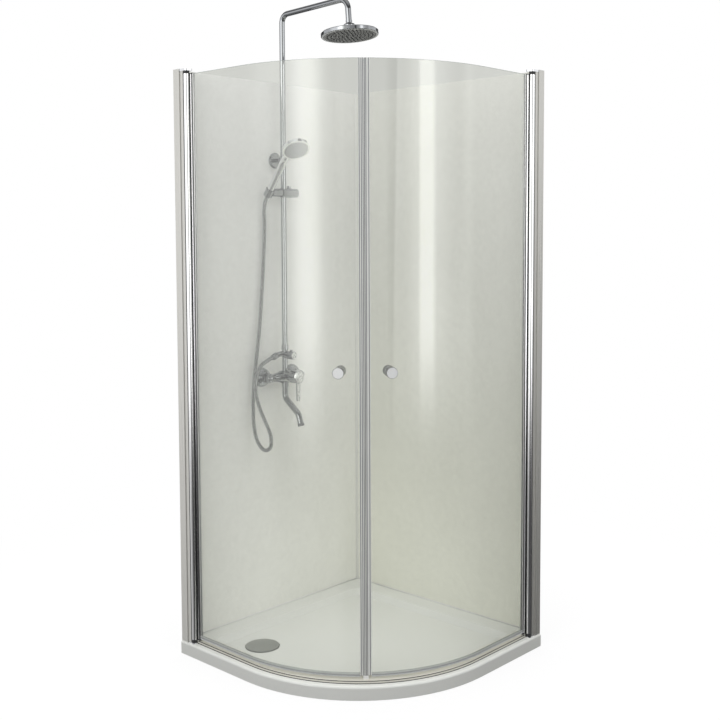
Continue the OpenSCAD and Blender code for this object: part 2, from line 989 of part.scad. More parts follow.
// Ball-ended cartridge: it turns about X and carries the lever's tilt.
module cartridge() {
  color("gray")
  translate([pivot_x, set_y, lever_z])
    along_x() rotate_extrude() {
      intersection() {
        circle(dome_r);
        translate([0, run_gap - 14]) square([dome_r + 1, 30 - run_gap]);
      }
      translate([0, -34]) square([8, 24]);
    }
}

module lever_handle() {
  r = cap_r;
  color("silver")
  translate([pivot_x, set_y, lever_z])
  {
    along_x() rotate_extrude() difference() {
      intersection() {
        square([r, cap_len]);
        translate([0, cap_len - 70]) circle(70, $fn = 192);
      }
      circle(dome_r + ball_gap);
    }
    translate([cap_len - 13, 0, 0]) lever_bar();
  }
}

// Flat bar, narrower at its rounded lower end.
module lever_bar() {
  rotate([90, 0, 90]) linear_extrude(7) {
    polygon([[-8.5, -12], [8.5, -12], [6.6, -84], [-6.6, -84]]);
    translate([0, -84]) circle(6.6);
  }
}

module at_spout() {
  at_set(boss_z - run_gap) rotate([180, 0, 0]) children();
}

module spout_leg() {
  translate([0, 0, spout_l1]) after_bend(30, spout_a1) children();
}

module spout_tip() {
  spout_leg()
    translate([0, 0, spout_l2]) rotate([0, 0, 180])
      after_bend(30, spout_a2) children();
}

module spout() {
  r = spout_r;
  b = spout_r - spout_wall;
  color("silver")
  at_spout() {
    translate([0, 0, -12]) pipe(8, 5, 15);
    pipe(12.5, 5, 4);
    translate([0, 0, 4]) pipe(12.5, b, 9);
    translate([0, 0, 13]) pipe(r, b, spout_l1 - 13);
    translate([0, 0, spout_l1]) bend_piece(30, spout_a1, r, b);
    spout_leg() {
      pipe(r, b, spout_l2);
      translate([0, 0, spout_l2])
        rotate([0, 0, 180]) bend_piece(30, spout_a2, r, b);
    }
    spout_tip() pipe(r, b, spout_tail);
  }
}

module aerator() {
  color("gray")
  at_spout()
  spout_tip()
  translate([0, 0, spout_tail])
  difference() {
    union() {
      cylinder(r = 12, h = 9);
      translate([0, 0, -6]) cylinder(r = spout_r - spout_wall - slip, h = 7);
    }
    translate([0, 0, 2]) cylinder(r = 9, h = 8);
    for (i = [0:5])
      rotate([0, 0, i * 60]) translate([5, 0, -7]) cylinder(r = 1.5, h = 12, $fn = 24);
  }
}

// Diverter and riser.

module diverter_body() {
  color("silver")
  difference() {
    union() {
      at_set(flare_z) rotate_extrude() intersection() {
        square([20, div_top - flare_z]);
        union() {
          translate([-10.5, 0]) square([21, div_top - flare_z]);
          translate([0, div_z - flare_z]) circle(14.5);
        }
      }
      at_set(div_z) along_x() cylinder(r = 13, h = div_face - set_x);
      at_set(div_z + 4) rotate([90, 90, 0]) {
        cylinder(r = 9.5, h = stub_run);
        translate([0, 0, stub_run]) {
          bend_piece(stub_bend, stub_a, 9.5, 5);
          after_bend(stub_bend, stub_a) pipe(9.5, 5, stub_tail);
        }
      }
    }
    translate([div_face - 14, set_y, div_z])
      along_x() cylinder(r = 4 + pin_fit, h = 20);
    at_set(flare_z - 1) cylinder(r = 4, h = div_z - flare_z);
  }
}

module diverter_knob() {
  color("silver")
  translate([div_face + run_gap, set_y, div_z]) {
    difference() {
      union() {
        along_x() cylinder(r = div_knob_r, h = 23);
        translate([22.9, 0, 0]) along_x() cylinder(r1 = div_knob_r, r2 = div_knob_r - 2, h = 3);
      }
      for (i = [0:11])
        rotate([i * 30, 0, 0])
          translate([-1, 0, div_knob_r + 1.6]) along_x() cylinder(r = 2.4, h = 30, $fn = 32);
    }
    translate([-12, 0, 0]) along_x() cylinder(r = 4, h = 13);
    translate([6, -3, div_knob_r - 3]) cube([10, 6, 8]);
  }
}

module riser_coupling() {
  color("silver")
  at_set(div_top)
  difference() {
    union() {
      hex(riser_r + 3, coupling_h - 5);
      cylinder(r = riser_r + 2, h = coupling_h);
    }
    translate([0, 0, -1]) cylinder(r = riser_r + slip, h = coupling_h + 2);
  }
}

module riser_path(r, b) {
  l1 = arm_z - div_top - arm_t1;
  l2 = arm_len - arm_t1 - arm_t2;
  l3 = drop_len - arm_t2;
  a1 = 90 - arm_rise;
  a2 = 90 + arm_rise - drop_lean;
  pipe(r, b, l1);
  translate([0, 0, l1]) {
    bend_piece(bend_1, a1, r, b);
    after_bend(bend_1, a1) {
      pipe(r, b, l2);
      translate([0, 0, l2]) {
        bend_piece(bend_2, a2, r, b);
        after_bend(bend_2, a2) pipe(r, b, l3);
      }
    }
  }
}

module at_ball() {
  translate([ball_x, set_y, ball_z])
    rotate([0, -drop_lean, 0]) children();
}

module riser_pipe() {
  neck = ball_t - drop_len;
  color("silver") {
    at_set(div_top) riser_path(riser_r, riser_r - 2);
    at_ball() rotate_extrude() difference() {
      union() {
        circle(ball_pin);
        square([5, neck - 2]);
        translate([0, neck - 3]) square([riser_r + 1, 3]);
        translate([riser_r - 1, neck - 1]) square([2, 7]);
      }
      translate([-20, -20]) square([23, 60]);
    }
  }
}

module riser_bracket() {
  h = 16;
  color("silver")
  translate([0, set_y, bracket_z])
  difference() {
    union() {
      translate([face_x, 0, 0]) along_x() cylinder(r = 29, h = 4);
      translate([face_x + 3.9, 0, 0]) along_x() cylinder(r1 = 29, r2 = 24, h = 4);
      translate([wall_x, 0, 0]) along_x() cylinder(r = 4 - slip, h = 12);
      translate([face_x, 0, 0]) along_x() cylinder(r = 7, h = set_x - face_x);
      translate([set_x, 0, -h / 2]) cylinder(r = riser_r + 4, h = h);
    }
    translate([set_x, 0, -h]) cylinder(r = riser_r + slip, h = 2 * h);
  }
}

// Overhead head.

module head_collar() {
  color("silver")
  at_ball() rotate_extrude() difference() {
    intersection() {
      circle(collar_r);
      translate([0, -30]) square([30, 34]);
    }
    circle(ball_pin + ball_gap);
    translate([-6, -30]) square([12, 30]);
  }
}

module overhead_head() {
  color("silver")
  at_ball() rotate_extrude() difference() {
    polygon([
      [0, head_w0 + 4], [head_r - 8, head_w0 + 4], [head_r - 8, head_w0],
      [head_r - 2, head_w0], [head_r, head_w0 + 2], [head_r, head_w0 + head_rim - 3],
      [head_r - 3, head_w0 + head_rim], [head_r - 16, head_w0 + head_rim + 3],
      [collar_r + 12, head_w0 + 24], [collar_r + 4, head_w0 + 27],
      [collar_r + 3, head_w0 + 31], [0, head_w0 + 31]
    ]);
    circle(collar_r + ball_gap);
    translate([-6, -40]) square([12, 30]);
    polygon([
      [-1, head_w0 + 3], [head_r - 12, head_w0 + 3],
      [head_r - 24, head_w0 + 12], [-1, head_w0 + 12]
    ]);
  }
}

module nozzle_plate() {
  color("dimgray")
  at_ball() {
    translate([0, 0, head_w0]) cylinder(r = head_r - 8 - slip, h = 4);
    for (ring = [1:6])
      for (i = [0:ring * 6 - 1])
        rotate([0, 0, i * 360 / (ring * 6)])
          translate([ring * (head_r - 16) / 6.4, 0, head_w0 - 2])
            cylinder(r1 = 1.4, r2 = 2.4, h = 2.5, $fn = 16);
  }
}

// Slider and hand shower.

module slider_body() {
  color("silver")
  at_set(slider_z)
  difference() {
    union() {
      translate([0, -12, 0]) along_y() cylinder(r = slider_d / 2, h = 48);
      translate([0, -31, 0]) along_y() cylinder(r = 8, h = 20);
      translate([0, 27, 0]) cylinder(r = 7.5, h = slider_d / 2 + 8);
    }
    translate([0, 0, -40]) cylinder(r = riser_r + pin_fit, h = 80);
    translate([0, 5, 0]) along_y() cylinder(r = 4 + pin_fit, h = 40);
  }
}

module slider_knob() {
  color("silver")
  at_set(slider_z) {
    translate([0, 36 + run_gap, 0]) along_y() rotate_extrude() {
      square([slider_d / 2 - 1, 26]);
      intersection() {
        square([slider_d / 2 - 1, 40]);
        translate([0, 14]) circle(21);
      }
    }
    translate([0, riser_r + 1.5, 0]) along_y() cylinder(r = 4, h = 26);
  }
}

// Frame in the holder's seat: +Z runs up the hand shower's handle, +X to its front.
module at_seat() {
  translate([set_x, holder_y, slider_z])
    rotate([0, tilt, 0])
      rotate([0, 0, -turn]) children();
}

module handset_holder() {
  color("silver")
  difference() {
    union() {
      at_set(slider_z) translate([0, -60, 0]) along_y() cylinder(r = holder_r, h = 47.5);
      at_seat() translate([0, 0, -14]) cylinder(r = seat_r, h = 27);
    }
    at_set(slider_z) translate([0, -32, 0]) along_y() cylinder(r = 8 + pin_fit, h = 40);
    at_seat() cone_cut(slip);
  }
}

module cone_cut(gap) {
  k = (cone_r1 - cone_r0) / (cone_w1 - cone_w0);
  translate([0, 0, cone_w0 - 4])
    cylinder(
      r1 = cone_r0 + gap - 4 * k,
      r2 = cone_r1 + gap + 4 * k,
      h = cone_w1 - cone_w0 + 8
    );
}

module hose_cone_nut() {
  color("silver")
  at_seat()
  difference() {
    translate([0, 0, cone_w0]) cylinder(r1 = cone_r0, r2 = cone_r1, h = cone_w1 - cone_w0);
    translate([0, 0, cone_w0 - 1])
      cylinder(r = hose_r + slip, h = hose_end_w - cone_w0 + 1 + slip);
    translate([0, 0, hose_end_w - 1]) cylinder(r = 4, h = 40);
  }
}

module at_handset_head() {
  at_seat()
    translate([head_at[0], 0, head_at[1]])
      rotate([0, 90 + nod, 0]) children();
}

module handset() {
  w0 = cone_w1 + run_gap;
  color("silver")
  difference() {
    union() {
      at_seat() {
        translate([0, 0, w0]) cylinder(r = 12.5, h = 6);
        translate([0, 0, w0 + 5.9]) cylinder(r1 = 12.5, r2 = 11.5, h = 40);
        translate([0, 0, w0 + 45.8]) cylinder(r1 = 11.5, r2 = 13, h = grip_len - w0 - 45.8);
        translate([0, 0, grip_len]) {
          translate([neck_bend, 0, 0])
            rotate([90, 0, 180])
              rotate([0, 0, -1])
                rotate_extrude(angle = neck_a + 2)
                  translate([neck_bend, 0]) circle(12.95);
          after_bend(neck_bend, neck_a) cylinder(r1 = 13, r2 = 7, h = neck_len);
        }
      }
      at_handset_head() rotate_extrude() intersection() {
        translate([0, -15]) square([hand_r, 26]);
        translate([0, 96 - 15]) circle(96, $fn = 180);
      }
      at_handset_head() rotate([0, 0, 28]) box([hand_r - 3, -5, 3], [hand_r + 5, 5, 6.5]);
    }
    at_handset_head() translate([0, 0, 9]) cylinder(r = hand_r - 5, h = 30);
    at_seat() translate([0, 0, w0 - 1]) cylinder(r = 5, h = 100);
  }
}

module handset_face() {
  r = hand_r - 5 - slip;
  color("gainsboro")
  at_handset_head() {
    translate([0, 0, 9]) cylinder(r = r, h = 2.6);
    for (ring = [1:4])
      for (i = [0:ring * 6 - 1])
        rotate([0, 0, i * 360 / (ring * 6)])
          translate([ring * (r - 5) / 4, 0, 11.5])
            cylinder(r1 = 1.9, r2 = 1.2, h = 2, $fn = 16);
  }
}

// Hose.

module hose_valve_nut() {
  color("silver")
  at_set(div_z + 4) rotate([90, 90, 0])
    translate([0, 0, stub_run]) after_bend(stub_bend, stub_a)
      translate([0, 0, stub_tail])
      difference() {
        union() {
          hex(13, 12);
          translate([0, 0, 11.9]) cylinder(r = 10.5, h = 8.1);
        }
        translate([0, 0, hose_in]) cylinder(r = hose_r + slip, h = 20);
        translate([0, 0, -1]) cylinder(r = 4, h = 20);
      }
}

// Smooth curve through the route's points, each span a cubic with shared tangents.
hose_pts = concat(
  [hose_p0, hose_p0 + hose_d0 * hose_d * 1.2],
  hose_route,
  [hose_p1 - seat_dir * hose_d * 1.2, hose_p1]
);
n_pts = len(hose_pts);

function unit(v) = v / norm(v);

function knot_dir(i) =
  i < 1 ? hose_d0
  : i > n_pts - 2 ? seat_dir
  : i == 1 ? hose_d0
  : i == n_pts - 2 ? seat_dir
  : unit(hose_pts[i + 1] - hose_pts[i - 1]);

function span_at(i, u) =
  let (
    a = hose_pts[i],
    b = hose_pts[i + 1],
    l = norm(b - a),
    p = knot_dir(i) * l,
    q = knot_dir(i + 1) * l
  )
  a * (2 * u * u * u - 3 * u * u + 1) + p * (u * u * u - 2 * u * u + u)
  + b * (3 * u * u - 2 * u * u * u) + q * (u * u * u - u * u);

fine_n = 16;
fine = [
  for (i = [0:n_pts - 2])
    for (k = [0:fine_n - 1])
      span_at(i, k / fine_n),
  hose_p1
];

function sums(v, i = 0, acc = 0, out = []) =
  i >= len(v) - 1 ? concat(out, [acc])
  : sums(v, i + 1, acc + norm(v[i + 1] - v[i]), concat(out, [acc]));

run_len = sums(fine);
hose_len = run_len[len(run_len) - 1];

// Index of the fine point at or before a length, by halving.
function seek(s, lo, hi) =
  hi - lo <= 1 ? lo
  : let (mid = floor((lo + hi) / 2))
    run_len[mid] <= s ? seek(s, mid, hi) : seek(s, lo, mid);

function hose_at(s) =
  let (
    i = seek(min(s, hose_len - 0.001), 0, len(fine) - 1),
    f = (s - run_len[i]) / (run_len[i + 1] - run_len[i])
  )
  fine[i] * (1 - f) + fine[i + 1] * f;

function hose_dir(s) =
  s < 1 ? hose_d0
  : s > hose_len - 1 ? seat_dir
  : unit(hose_at(s + 1) - hose_at(s - 1));

// Frames carried along the curve without twist.
rib_n = rib_pitch_count;
ring_n = 2 * rib_n + 1;
ring_s = [for (i = [0:ring_n - 1]) hose_len * i / (ring_n - 1)];
ring_p = [for (s = ring_s) hose_at(s)];
ring_t = [for (s = ring_s) hose_dir(s)];

function side_of(v, t) = unit(v - t * (v * t));

function frames(i = 0, v = [1, 0, 0], out = []) =
  i >= ring_n ? out
  : let (n = side_of(v, ring_t[i]))
    frames(i + 1, n, concat(out, [n]));

ring_u = frames();

function ring_points(i, r) = [
  for (k = [0:hose_sides - 1])
    let (a = 360 * k / hose_sides, w = cross(ring_t[i], ring_u[i]))
    ring_p[i] + r * (cos(a) * ring_u[i] + sin(a) * w)
];

function ring_r(i) = i % 2 == 0 || i < 3 || i > ring_n - 4 ? hose_r - rib_h : hose_r;

bore_rings = [for (i = [0:2:ring_n - 1]) i];
outer_pts = [for (i = [0:ring_n - 1]) each ring_points(i, ring_r(i))];
inner_pts = [for (i = bore_rings) each ring_points(i, hose_bore)];
inner_0 = len(outer_pts);
inner_n = len(bore_rings);

function skin(first, rings, flip) = [
  for (i = [0:rings - 2])
    for (k = [0:hose_sides - 1])
      let (
        a = first + i * hose_sides + k,
        b = first + i * hose_sides + (k + 1) % hose_sides,
        c = b + hose_sides,
        d = a + hose_sides
      )
      each (flip ? [[a, b, c], [a, c, d]] : [[a, c, b], [a, d, c]])
];

function lid(o, p, flip) = [
  for (k = [0:hose_sides - 1])
    let (
      k2 = (k + 1) % hose_sides,
      a = o + k,
      b = o + k2,
      c = p + k2,
      d = p + k
    )
    each (flip ? [[a, b, c], [a, c, d]] : [[a, c, b], [a, d, c]])
];

// Least distance between stretches of the hose that lie far apart along it.
gap_step = 4;
gap_idx = [for (i = [0:gap_step:ring_n - 1]) i];
hose_gap = min([
  for (i = gap_idx)
    min(concat([1000], [
      for (j = gap_idx)
        if (ring_s[j] - ring_s[i] > 6 * hose_d) norm(ring_p[j] - ring_p[i]) - hose_d
    ]))
]);

module shower_hose() {
  echo(hose_length = hose_len, hose_least_gap = hose_gap);
  color("silver")
  polyhedron(
    points = concat(outer_pts, inner_pts),
    faces = concat(
      skin(0, ring_n, false),
      skin(inner_0, inner_n, true),
      lid(0, inner_0, true),
      lid((ring_n - 1) * hose_sides, inner_0 + (inner_n - 1) * hose_sides, false)
    )
  );
}

// Build.

shower_tray();
waste_flange();
waste_gasket();
waste_locknut();
waste_cover();
wall_panel_left();
wall_panel_right();
corner_strip();
wall_channel_left();
wall_channel_right();
adjusting_profile_left();
adjusting_profile_right();
post_gaskets();
channel_caps();
profile_screws();
bottom_brackets();
top_brackets();
sill_strip();
centre_stop();
door_glass_left();
door_glass_right();
hinge_post_left();
hinge_post_right();
hinge_bushings_left();
hinge_bushings_right();
glazing_gasket_left();
glazing_gasket_right();
bottom_seal_left();
bottom_seal_right();
magnet_seal_left();
magnet_seal_right();
magnet_strip_left();
magnet_strip_right();
door_knobs_left();
door_knobs_right();
knob_fixings_left();
knob_fixings_right();
wall_rosettes();
wall_unions();
mixer_body();
cartridge();
lever_handle();
spout();
aerator();
diverter_body();
diverter_knob();
riser_coupling();
riser_pipe();
riser_bracket();
head_collar();
overhead_head();
nozzle_plate();
slider_body();
slider_knob();
handset_holder();
hose_cone_nut();
handset();
handset_face();
shower_hose();
hose_valve_nut();
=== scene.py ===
"""Corner shower enclosure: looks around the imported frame. Metres, +Z up, origin on the floor."""
import json
import math

import bmesh
import bpy
from mathutils import Matrix, Vector


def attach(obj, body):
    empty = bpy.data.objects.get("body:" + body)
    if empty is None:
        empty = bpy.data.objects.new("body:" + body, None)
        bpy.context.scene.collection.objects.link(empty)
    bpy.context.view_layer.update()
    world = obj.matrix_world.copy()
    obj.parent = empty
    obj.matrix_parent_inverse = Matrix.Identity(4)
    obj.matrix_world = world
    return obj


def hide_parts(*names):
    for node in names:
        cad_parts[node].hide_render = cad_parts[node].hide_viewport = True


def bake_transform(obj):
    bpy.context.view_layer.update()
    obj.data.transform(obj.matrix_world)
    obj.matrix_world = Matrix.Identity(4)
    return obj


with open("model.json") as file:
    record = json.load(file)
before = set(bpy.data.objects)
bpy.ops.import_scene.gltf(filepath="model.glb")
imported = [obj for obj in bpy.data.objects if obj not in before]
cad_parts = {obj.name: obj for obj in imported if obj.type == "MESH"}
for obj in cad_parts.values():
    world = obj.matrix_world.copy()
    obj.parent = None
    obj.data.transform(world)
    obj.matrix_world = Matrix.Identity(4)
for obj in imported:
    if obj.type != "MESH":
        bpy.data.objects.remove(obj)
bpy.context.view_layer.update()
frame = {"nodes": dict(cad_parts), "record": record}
nodes = frame["nodes"]
scene = bpy.context.scene
scene.view_settings.view_transform = "Standard"

# Camera, fitted to the photograph. Angles in degrees, sensor and lens in millimetres.
CAM_AT = (2.4741, -2.6319, 1.4793)
CAM_YAW, CAM_PITCH, CAM_ROLL = 132.7378, 3.9325, 0.1913
CAM_SENSOR = 36
CAM_LENS = 52.3055
CAM_SHIFT = (-0.01376, -0.08)


def make_camera():
    yaw, pitch, roll = (math.radians(a) for a in (CAM_YAW, CAM_PITCH, CAM_ROLL))
    level = Vector((math.cos(yaw), math.sin(yaw), 0))
    ahead = Vector((level.x * math.cos(pitch), level.y * math.cos(pitch), -math.sin(pitch)))
    side = Vector((math.sin(yaw), -math.cos(yaw), 0))
    up = side.cross(ahead)
    right = side * math.cos(roll) - up * math.sin(roll)
    top = up * math.cos(roll) + side * math.sin(roll)
    cam = bpy.data.objects.new("camera", bpy.data.cameras.new("camera"))
    scene.collection.objects.link(cam)
    turn = Matrix((right, top, -ahead)).transposed().to_4x4()
    cam.matrix_world = Matrix.Translation(CAM_AT) @ turn
    cam.data.sensor_width = CAM_SENSOR
    cam.data.lens = CAM_LENS
    cam.data.shift_x, cam.data.shift_y = CAM_SHIFT
    scene.camera = cam


make_camera()

# How the hand shower is held, in degrees: the holder's lean, its turn and the head's nod.
HAND_LEAN, HAND_TURN, HAND_NOD = 36, -14.5, 109.5

# Hose: the source's route in metres, from the valve's stub to the holder's cone.
HOSE_D = 0.014
STUB_DIP = 16
HOSE_IN = Vector((0, -math.cos(math.radians(STUB_DIP)), -math.sin(math.radians(STUB_DIP))))
HOSE_OUT = Vector((math.sin(math.radians(HAND_LEAN)), 0, math.cos(math.radians(HAND_LEAN))))
HOSE_START = Vector((-0.396, -0.049212, 1.014662))
HOSE_END = Vector((-0.401878, -0.065, 1.610910))
HOSE_ROUTE = [
    (-0.389, -0.094, 1.002), (-0.382, -0.116, 0.996), (-0.372, -0.141, 0.984),
    (-0.361, -0.163, 0.964), (-0.350, -0.180, 0.935), (-0.338, -0.188, 0.892),
    (-0.323, -0.183, 0.843), (-0.311, -0.170, 0.798), (-0.303, -0.158, 0.762),
    (-0.302, -0.151, 0.735), (-0.310, -0.145, 0.709), (-0.330, -0.139, 0.691),
    (-0.356, -0.134, 0.684), (-0.382, -0.131, 0.692), (-0.401, -0.130, 0.711),
    (-0.411, -0.131, 0.737), (-0.417, -0.133, 0.776), (-0.421, -0.131, 0.823),
    (-0.423, -0.128, 0.874), (-0.424, -0.122, 0.936), (-0.425, -0.111, 1.001),
    (-0.426, -0.100, 1.066), (-0.427, -0.090, 1.132), (-0.428, -0.075, 1.279),
    (-0.429, -0.063, 1.427), (-0.429, -0.060, 1.505), (-0.426, -0.063, 1.556),
]
STRAIGHT = 1.2 * HOSE_D
SPAN_STEPS = 16
# Its wound rib: the length of a turn, the groove's depth and how narrow the groove is.
RIB_PITCH = 0.0047
RIB_DEPTH = 0.0011
RIB_SHARP = 2.5
RINGS_PER_TURN = 6
HOSE_SIDES = 20
HOSE_SHRINK = 0.0001
SLEEVE = 0.010


def hose_line():
    """Points along the hose, spans being cubics with shared tangents, and the length at each."""
    route = [HOSE_START, HOSE_START + HOSE_IN * STRAIGHT]
    route += [Vector(p) for p in HOSE_ROUTE]
    route += [HOSE_END - HOSE_OUT * STRAIGHT, HOSE_END]
    last = len(route) - 1

    def heading(i):
        if i < 2:
            return HOSE_IN
        if i > last - 2:
            return HOSE_OUT
        return (route[i + 1] - route[i - 1]).normalized()

    line = []
    for i in range(last):
        a, b = route[i], route[i + 1]
        span = (b - a).length
        p, q = heading(i) * span, heading(i + 1) * span
        for k in range(SPAN_STEPS):
            u = k / SPAN_STEPS
            u2, u3 = u * u, u * u * u
            line.append(
                a * (2 * u3 - 3 * u2 + 1) + p * (u3 - 2 * u2 + u)
                + b * (3 * u2 - 2 * u3) + q * (u3 - u2)
            )
    line.append(HOSE_END)
    lengths = [0.0]
    for a, b in zip(line, line[1:]):
        lengths.append(lengths[-1] + (b - a).length)
    return line, lengths


def along(line, lengths, s):
    """The point at length s of the line."""
    lo, hi = 0, len(lengths) - 1
    while hi - lo > 1:
        mid = (lo + hi) // 2
        if lengths[mid] <= s:
            lo = mid
        else:
            hi = mid
    t = (s - lengths[lo]) / (lengths[hi] - lengths[lo])
    return line[lo].lerp(line[hi], t)


def mesh_object(name, verts, faces, smooth=True):
    mesh = bpy.data.meshes.new(name)
    mesh.from_pydata([tuple(v) for v in verts], [], faces)
    mesh.validate()
    shape = bmesh.new()
    shape.from_mesh(mesh)
    bmesh.ops.recalc_face_normals(shape, faces=shape.faces)
    shape.to_mesh(mesh)
    shape.free()
    if smooth:
        mesh.polygons.foreach_set("use_smooth", [True] * len(mesh.polygons))
    mesh.update()
    obj = bpy.data.objects.new(name, mesh)
    scene.collection.objects.link(obj)
    return obj


def make_hose():
    """Wound metal hose: one helical rib from end to end, smooth sleeves at both ends."""
    line, lengths = hose_line()
    total = lengths[-1]
    rings = round(total / RIB_PITCH * RINGS_PER_TURN)
    near = 0.001
    verts, centres, grooves = [], [], []
    u = Vector((1, 0, 0))
    for i in range(rings + 1):
        s = total * i / rings
        here = along(line, lengths, s)
        lo, hi = max(s - near, 0), min(s + near, total)
        t = (along(line, lengths, hi) - along(line, lengths, lo)).normalized()
        u = (u - t * u.dot(t)).normalized()
        w = t.cross(u)
        centres.append(here)
        depth = 0.0 if min(s, total - s) < SLEEVE else RIB_DEPTH
        for k in range(HOSE_SIDES):
            a = math.tau * k / HOSE_SIDES
            phase = (s / RIB_PITCH + k / HOSE_SIDES) % 1.0
            dip = abs(2 * phase - 1) ** RIB_SHARP
            r = HOSE_D / 2 - HOSE_SHRINK - depth * dip
            grooves.append(dip if depth else 0.0)
            verts.append(here + (u * math.cos(a) + w * math.sin(a)) * r)
    faces = []
    for i in range(rings):
        for k in range(HOSE_SIDES):
            a, b = i * HOSE_SIDES + k, i * HOSE_SIDES + (k + 1) % HOSE_SIDES
            faces.append((a, b, b + HOSE_SIDES, a + HOSE_SIDES))
    faces.append(tuple(reversed(range(HOSE_SIDES))))
    faces.append(tuple(rings * HOSE_SIDES + k for k in range(HOSE_SIDES)))
    hose = mesh_object("hose", verts, faces)
    hose.data.attributes.new("groove", "FLOAT", "POINT").data.foreach_set("value", grooves)
    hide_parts("shower_hose")
    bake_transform(hose)
    return hose


hose = make_hose()


# Places of the source that the trims follow. Left and right are mirror images.
UP = Vector((0, 0, 1))
X_AXIS, Y_AXIS = Vector((1, 0, 0)), Vector((0, 1, 0))
TRAY_TOP = 0.045
PANEL_FACE = -0.444
POST_X = -0.394
POST_Z = (0.0595, 2.0068)
GLASS_Y = -0.422
GLASS_HALF = 0.003
GLASS_MID = Vector((-0.128, 0.128, 0))
GLASS_R = 0.55
TRAY_MID = Vector((-0.1, 0.1, 0))
TRAY_R = 0.55
SILL_END = 0.382
SEAL_HALF = 0.0046
SEAL_Z = (0.0675, 2.0065)

# Where the trims lie. The ribs are in millimetres along the glass from the middle of the
# front. LIP_END and NOSE_TILT are in degrees.
RIBS_MM = {"left": (-3.4, -8.6, -14.8), "right": (1.3, 5.7, 14.0)}
POCKET_FROM_POST, POCKET_HALF = 0.01025, 0.0055
GLAZING_FROM_POST = 0.0243
GLAZING_Z = (0.0745, POST_Z[1])
LIP_FROM_POST, LIP_Z, LIP_END = 0.022, 0.0687, -46.95
FOOT_INSET, FOOT_RISE = 0.0216, 0.0002
NOSE_INSET, NOSE_RISE, NOSE_TILT = 0.0229, 0.0081, 45
JOINT_Y = (-0.405, 0.444)


def bead(width, height, sink=0.0003, steps=6):
    """Section of a bead: its foot along the first axis, its crown along the second."""
    rim = [math.pi * k / steps for k in range(steps + 1)]
    crown = [(width / 2 * math.cos(a), height * math.sin(a)) for a in rim]
    return [(-width / 2, -sink), (width / 2, -sink)] + crown


RIB = bead(0.0019, 0.0008)
POCKET_RUBBER_AND_SHADE = bead(0.0045, 0.0009)
GLAZING_BEAD = bead(0.0054, 0.0009)
LIP_SHADOW = bead(0.0018, 0.0007)
FOOT_SHADE_LINE = bead(0.0018, 0.0016)
NOSE_SHADE_LINE = bead(0.0024, 0.0005)
COVE = [(0, 0), (0.0034, 0), (0.0017, 0.0006), (0.0006, 0.0017), (0, 0.0034)]


def across(p):
    """The same place on the enclosure's other side."""
    return Vector((-p.y, -p.x, p.z))


def sweeps(name, runs, body, mirrored=False):
    """One piece of several strips. A run is a section and its stations: place and two axes."""
    verts, faces = [], []
    for section, stations in runs:
        base, n = len(verts), len(section)
        for origin, side, top in stations:
            if mirrored:
                origin, side, top = across(origin), across(side), across(top)
            verts += [origin + side * p + top * q for p, q in section]
        for i in range(len(stations) - 1):
            for k in range(n):
                a, b = base + i * n + k, base + i * n + (k + 1) % n
                faces.append((a, b, b + n, a + n))
        faces.append(tuple(reversed(range(base, base + n))))
        faces.append(tuple(range(len(verts) - n, len(verts))))
    piece = mesh_object(name, verts, faces)
    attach(piece, body)
    return piece


def upright(place, side, top, z):
    """Stations of a vertical strip from z[0] to z[1]."""
    return [(place + UP * z[0], side, top), (place + UP * z[1], side, top)]


def compass(degrees):
    """Level direction, counted from +X towards +Y."""
    a = math.radians(degrees)
    return Vector((math.cos(a), math.sin(a), 0))


def front_line(mid, radius, start, z, first, last, steps=48):
    """Stations along y = const and then round the front, with outward as first axis."""
    line = [(Vector((start, mid.y - radius, z)), compass(-90), UP)]
    for k in range(steps + 1):
        out = compass(first + (last - first) * k / steps)
        line.append((mid + out * radius + UP * z, out, UP))
    return line


def whole_sill(inset, z, tilt=0.0):
    """Stations round the whole front, their second axis turned outwards by tilt degrees."""
    a = math.radians(tilt)
    half = front_line(TRAY_MID, TRAY_R - inset, -SILL_END, z, -90, 0)
    end = Vector((TRAY_MID.x + TRAY_R - inset, SILL_END, z))
    half.append((end, compass(0), UP))
    c, d = math.cos(a), math.sin(a)
    return [(o, s * c - u * d, u * c + s * d) for o, s, u in half]


trims = {}


def make_door_trims(side):
    """Ribs of the magnet seal, beads of the post's pocket (partly painted shade) and a dark bead
    along the bottom seal that is painted shadow.
    """
    body, mirrored = side + "_door", side == "right"
    ribs = []
    for mm in RIBS_MM[side]:
        out = compass(-45 + math.degrees(mm / 1000 / GLASS_R))
        tangent = UP.cross(out)
        for sign in (1, -1):
            place = GLASS_MID + out * (GLASS_R + sign * SEAL_HALF)
            ribs.append((RIB, upright(place, tangent, out * sign, SEAL_Z)))
    trims["rib_" + side] = sweeps("seal_ribs_" + side, ribs, body)

    # Black rubber beads in the post's pocket, standing for its rubber and for the shade of its
    # groove: partly painted shade.
    pocket, glazing = [], []
    for sign in (-1, 1):
        place = Vector((POST_X + POCKET_FROM_POST, GLASS_Y + sign * POCKET_HALF, 0))
        pocket.append((POCKET_RUBBER_AND_SHADE, upright(place, X_AXIS, Y_AXIS * sign, POST_Z)))
        place = Vector((POST_X + GLAZING_FROM_POST, GLASS_Y + sign * GLASS_HALF, 0))
        glazing.append((GLAZING_BEAD, upright(place, X_AXIS, Y_AXIS * sign, GLAZING_Z)))
    trims["post_" + side] = sweeps("post_beads_" + side, pocket, body, mirrored)
    trims["pale_" + side] = sweeps("glazing_bead_" + side, glazing, body, mirrored)

    # Painted shadow: a dark grey bead along the bottom seal's lower edge.
    start = POST_X + LIP_FROM_POST
    lip = front_line(GLASS_MID, GLASS_R + SEAL_HALF, start, LIP_Z, -90, LIP_END)
    lip = [(o, u, s) for o, s, u in lip]
    trims["lip_" + side] = sweeps("seal_lip_" + side, [(LIP_SHADOW, lip)], body, mirrored)


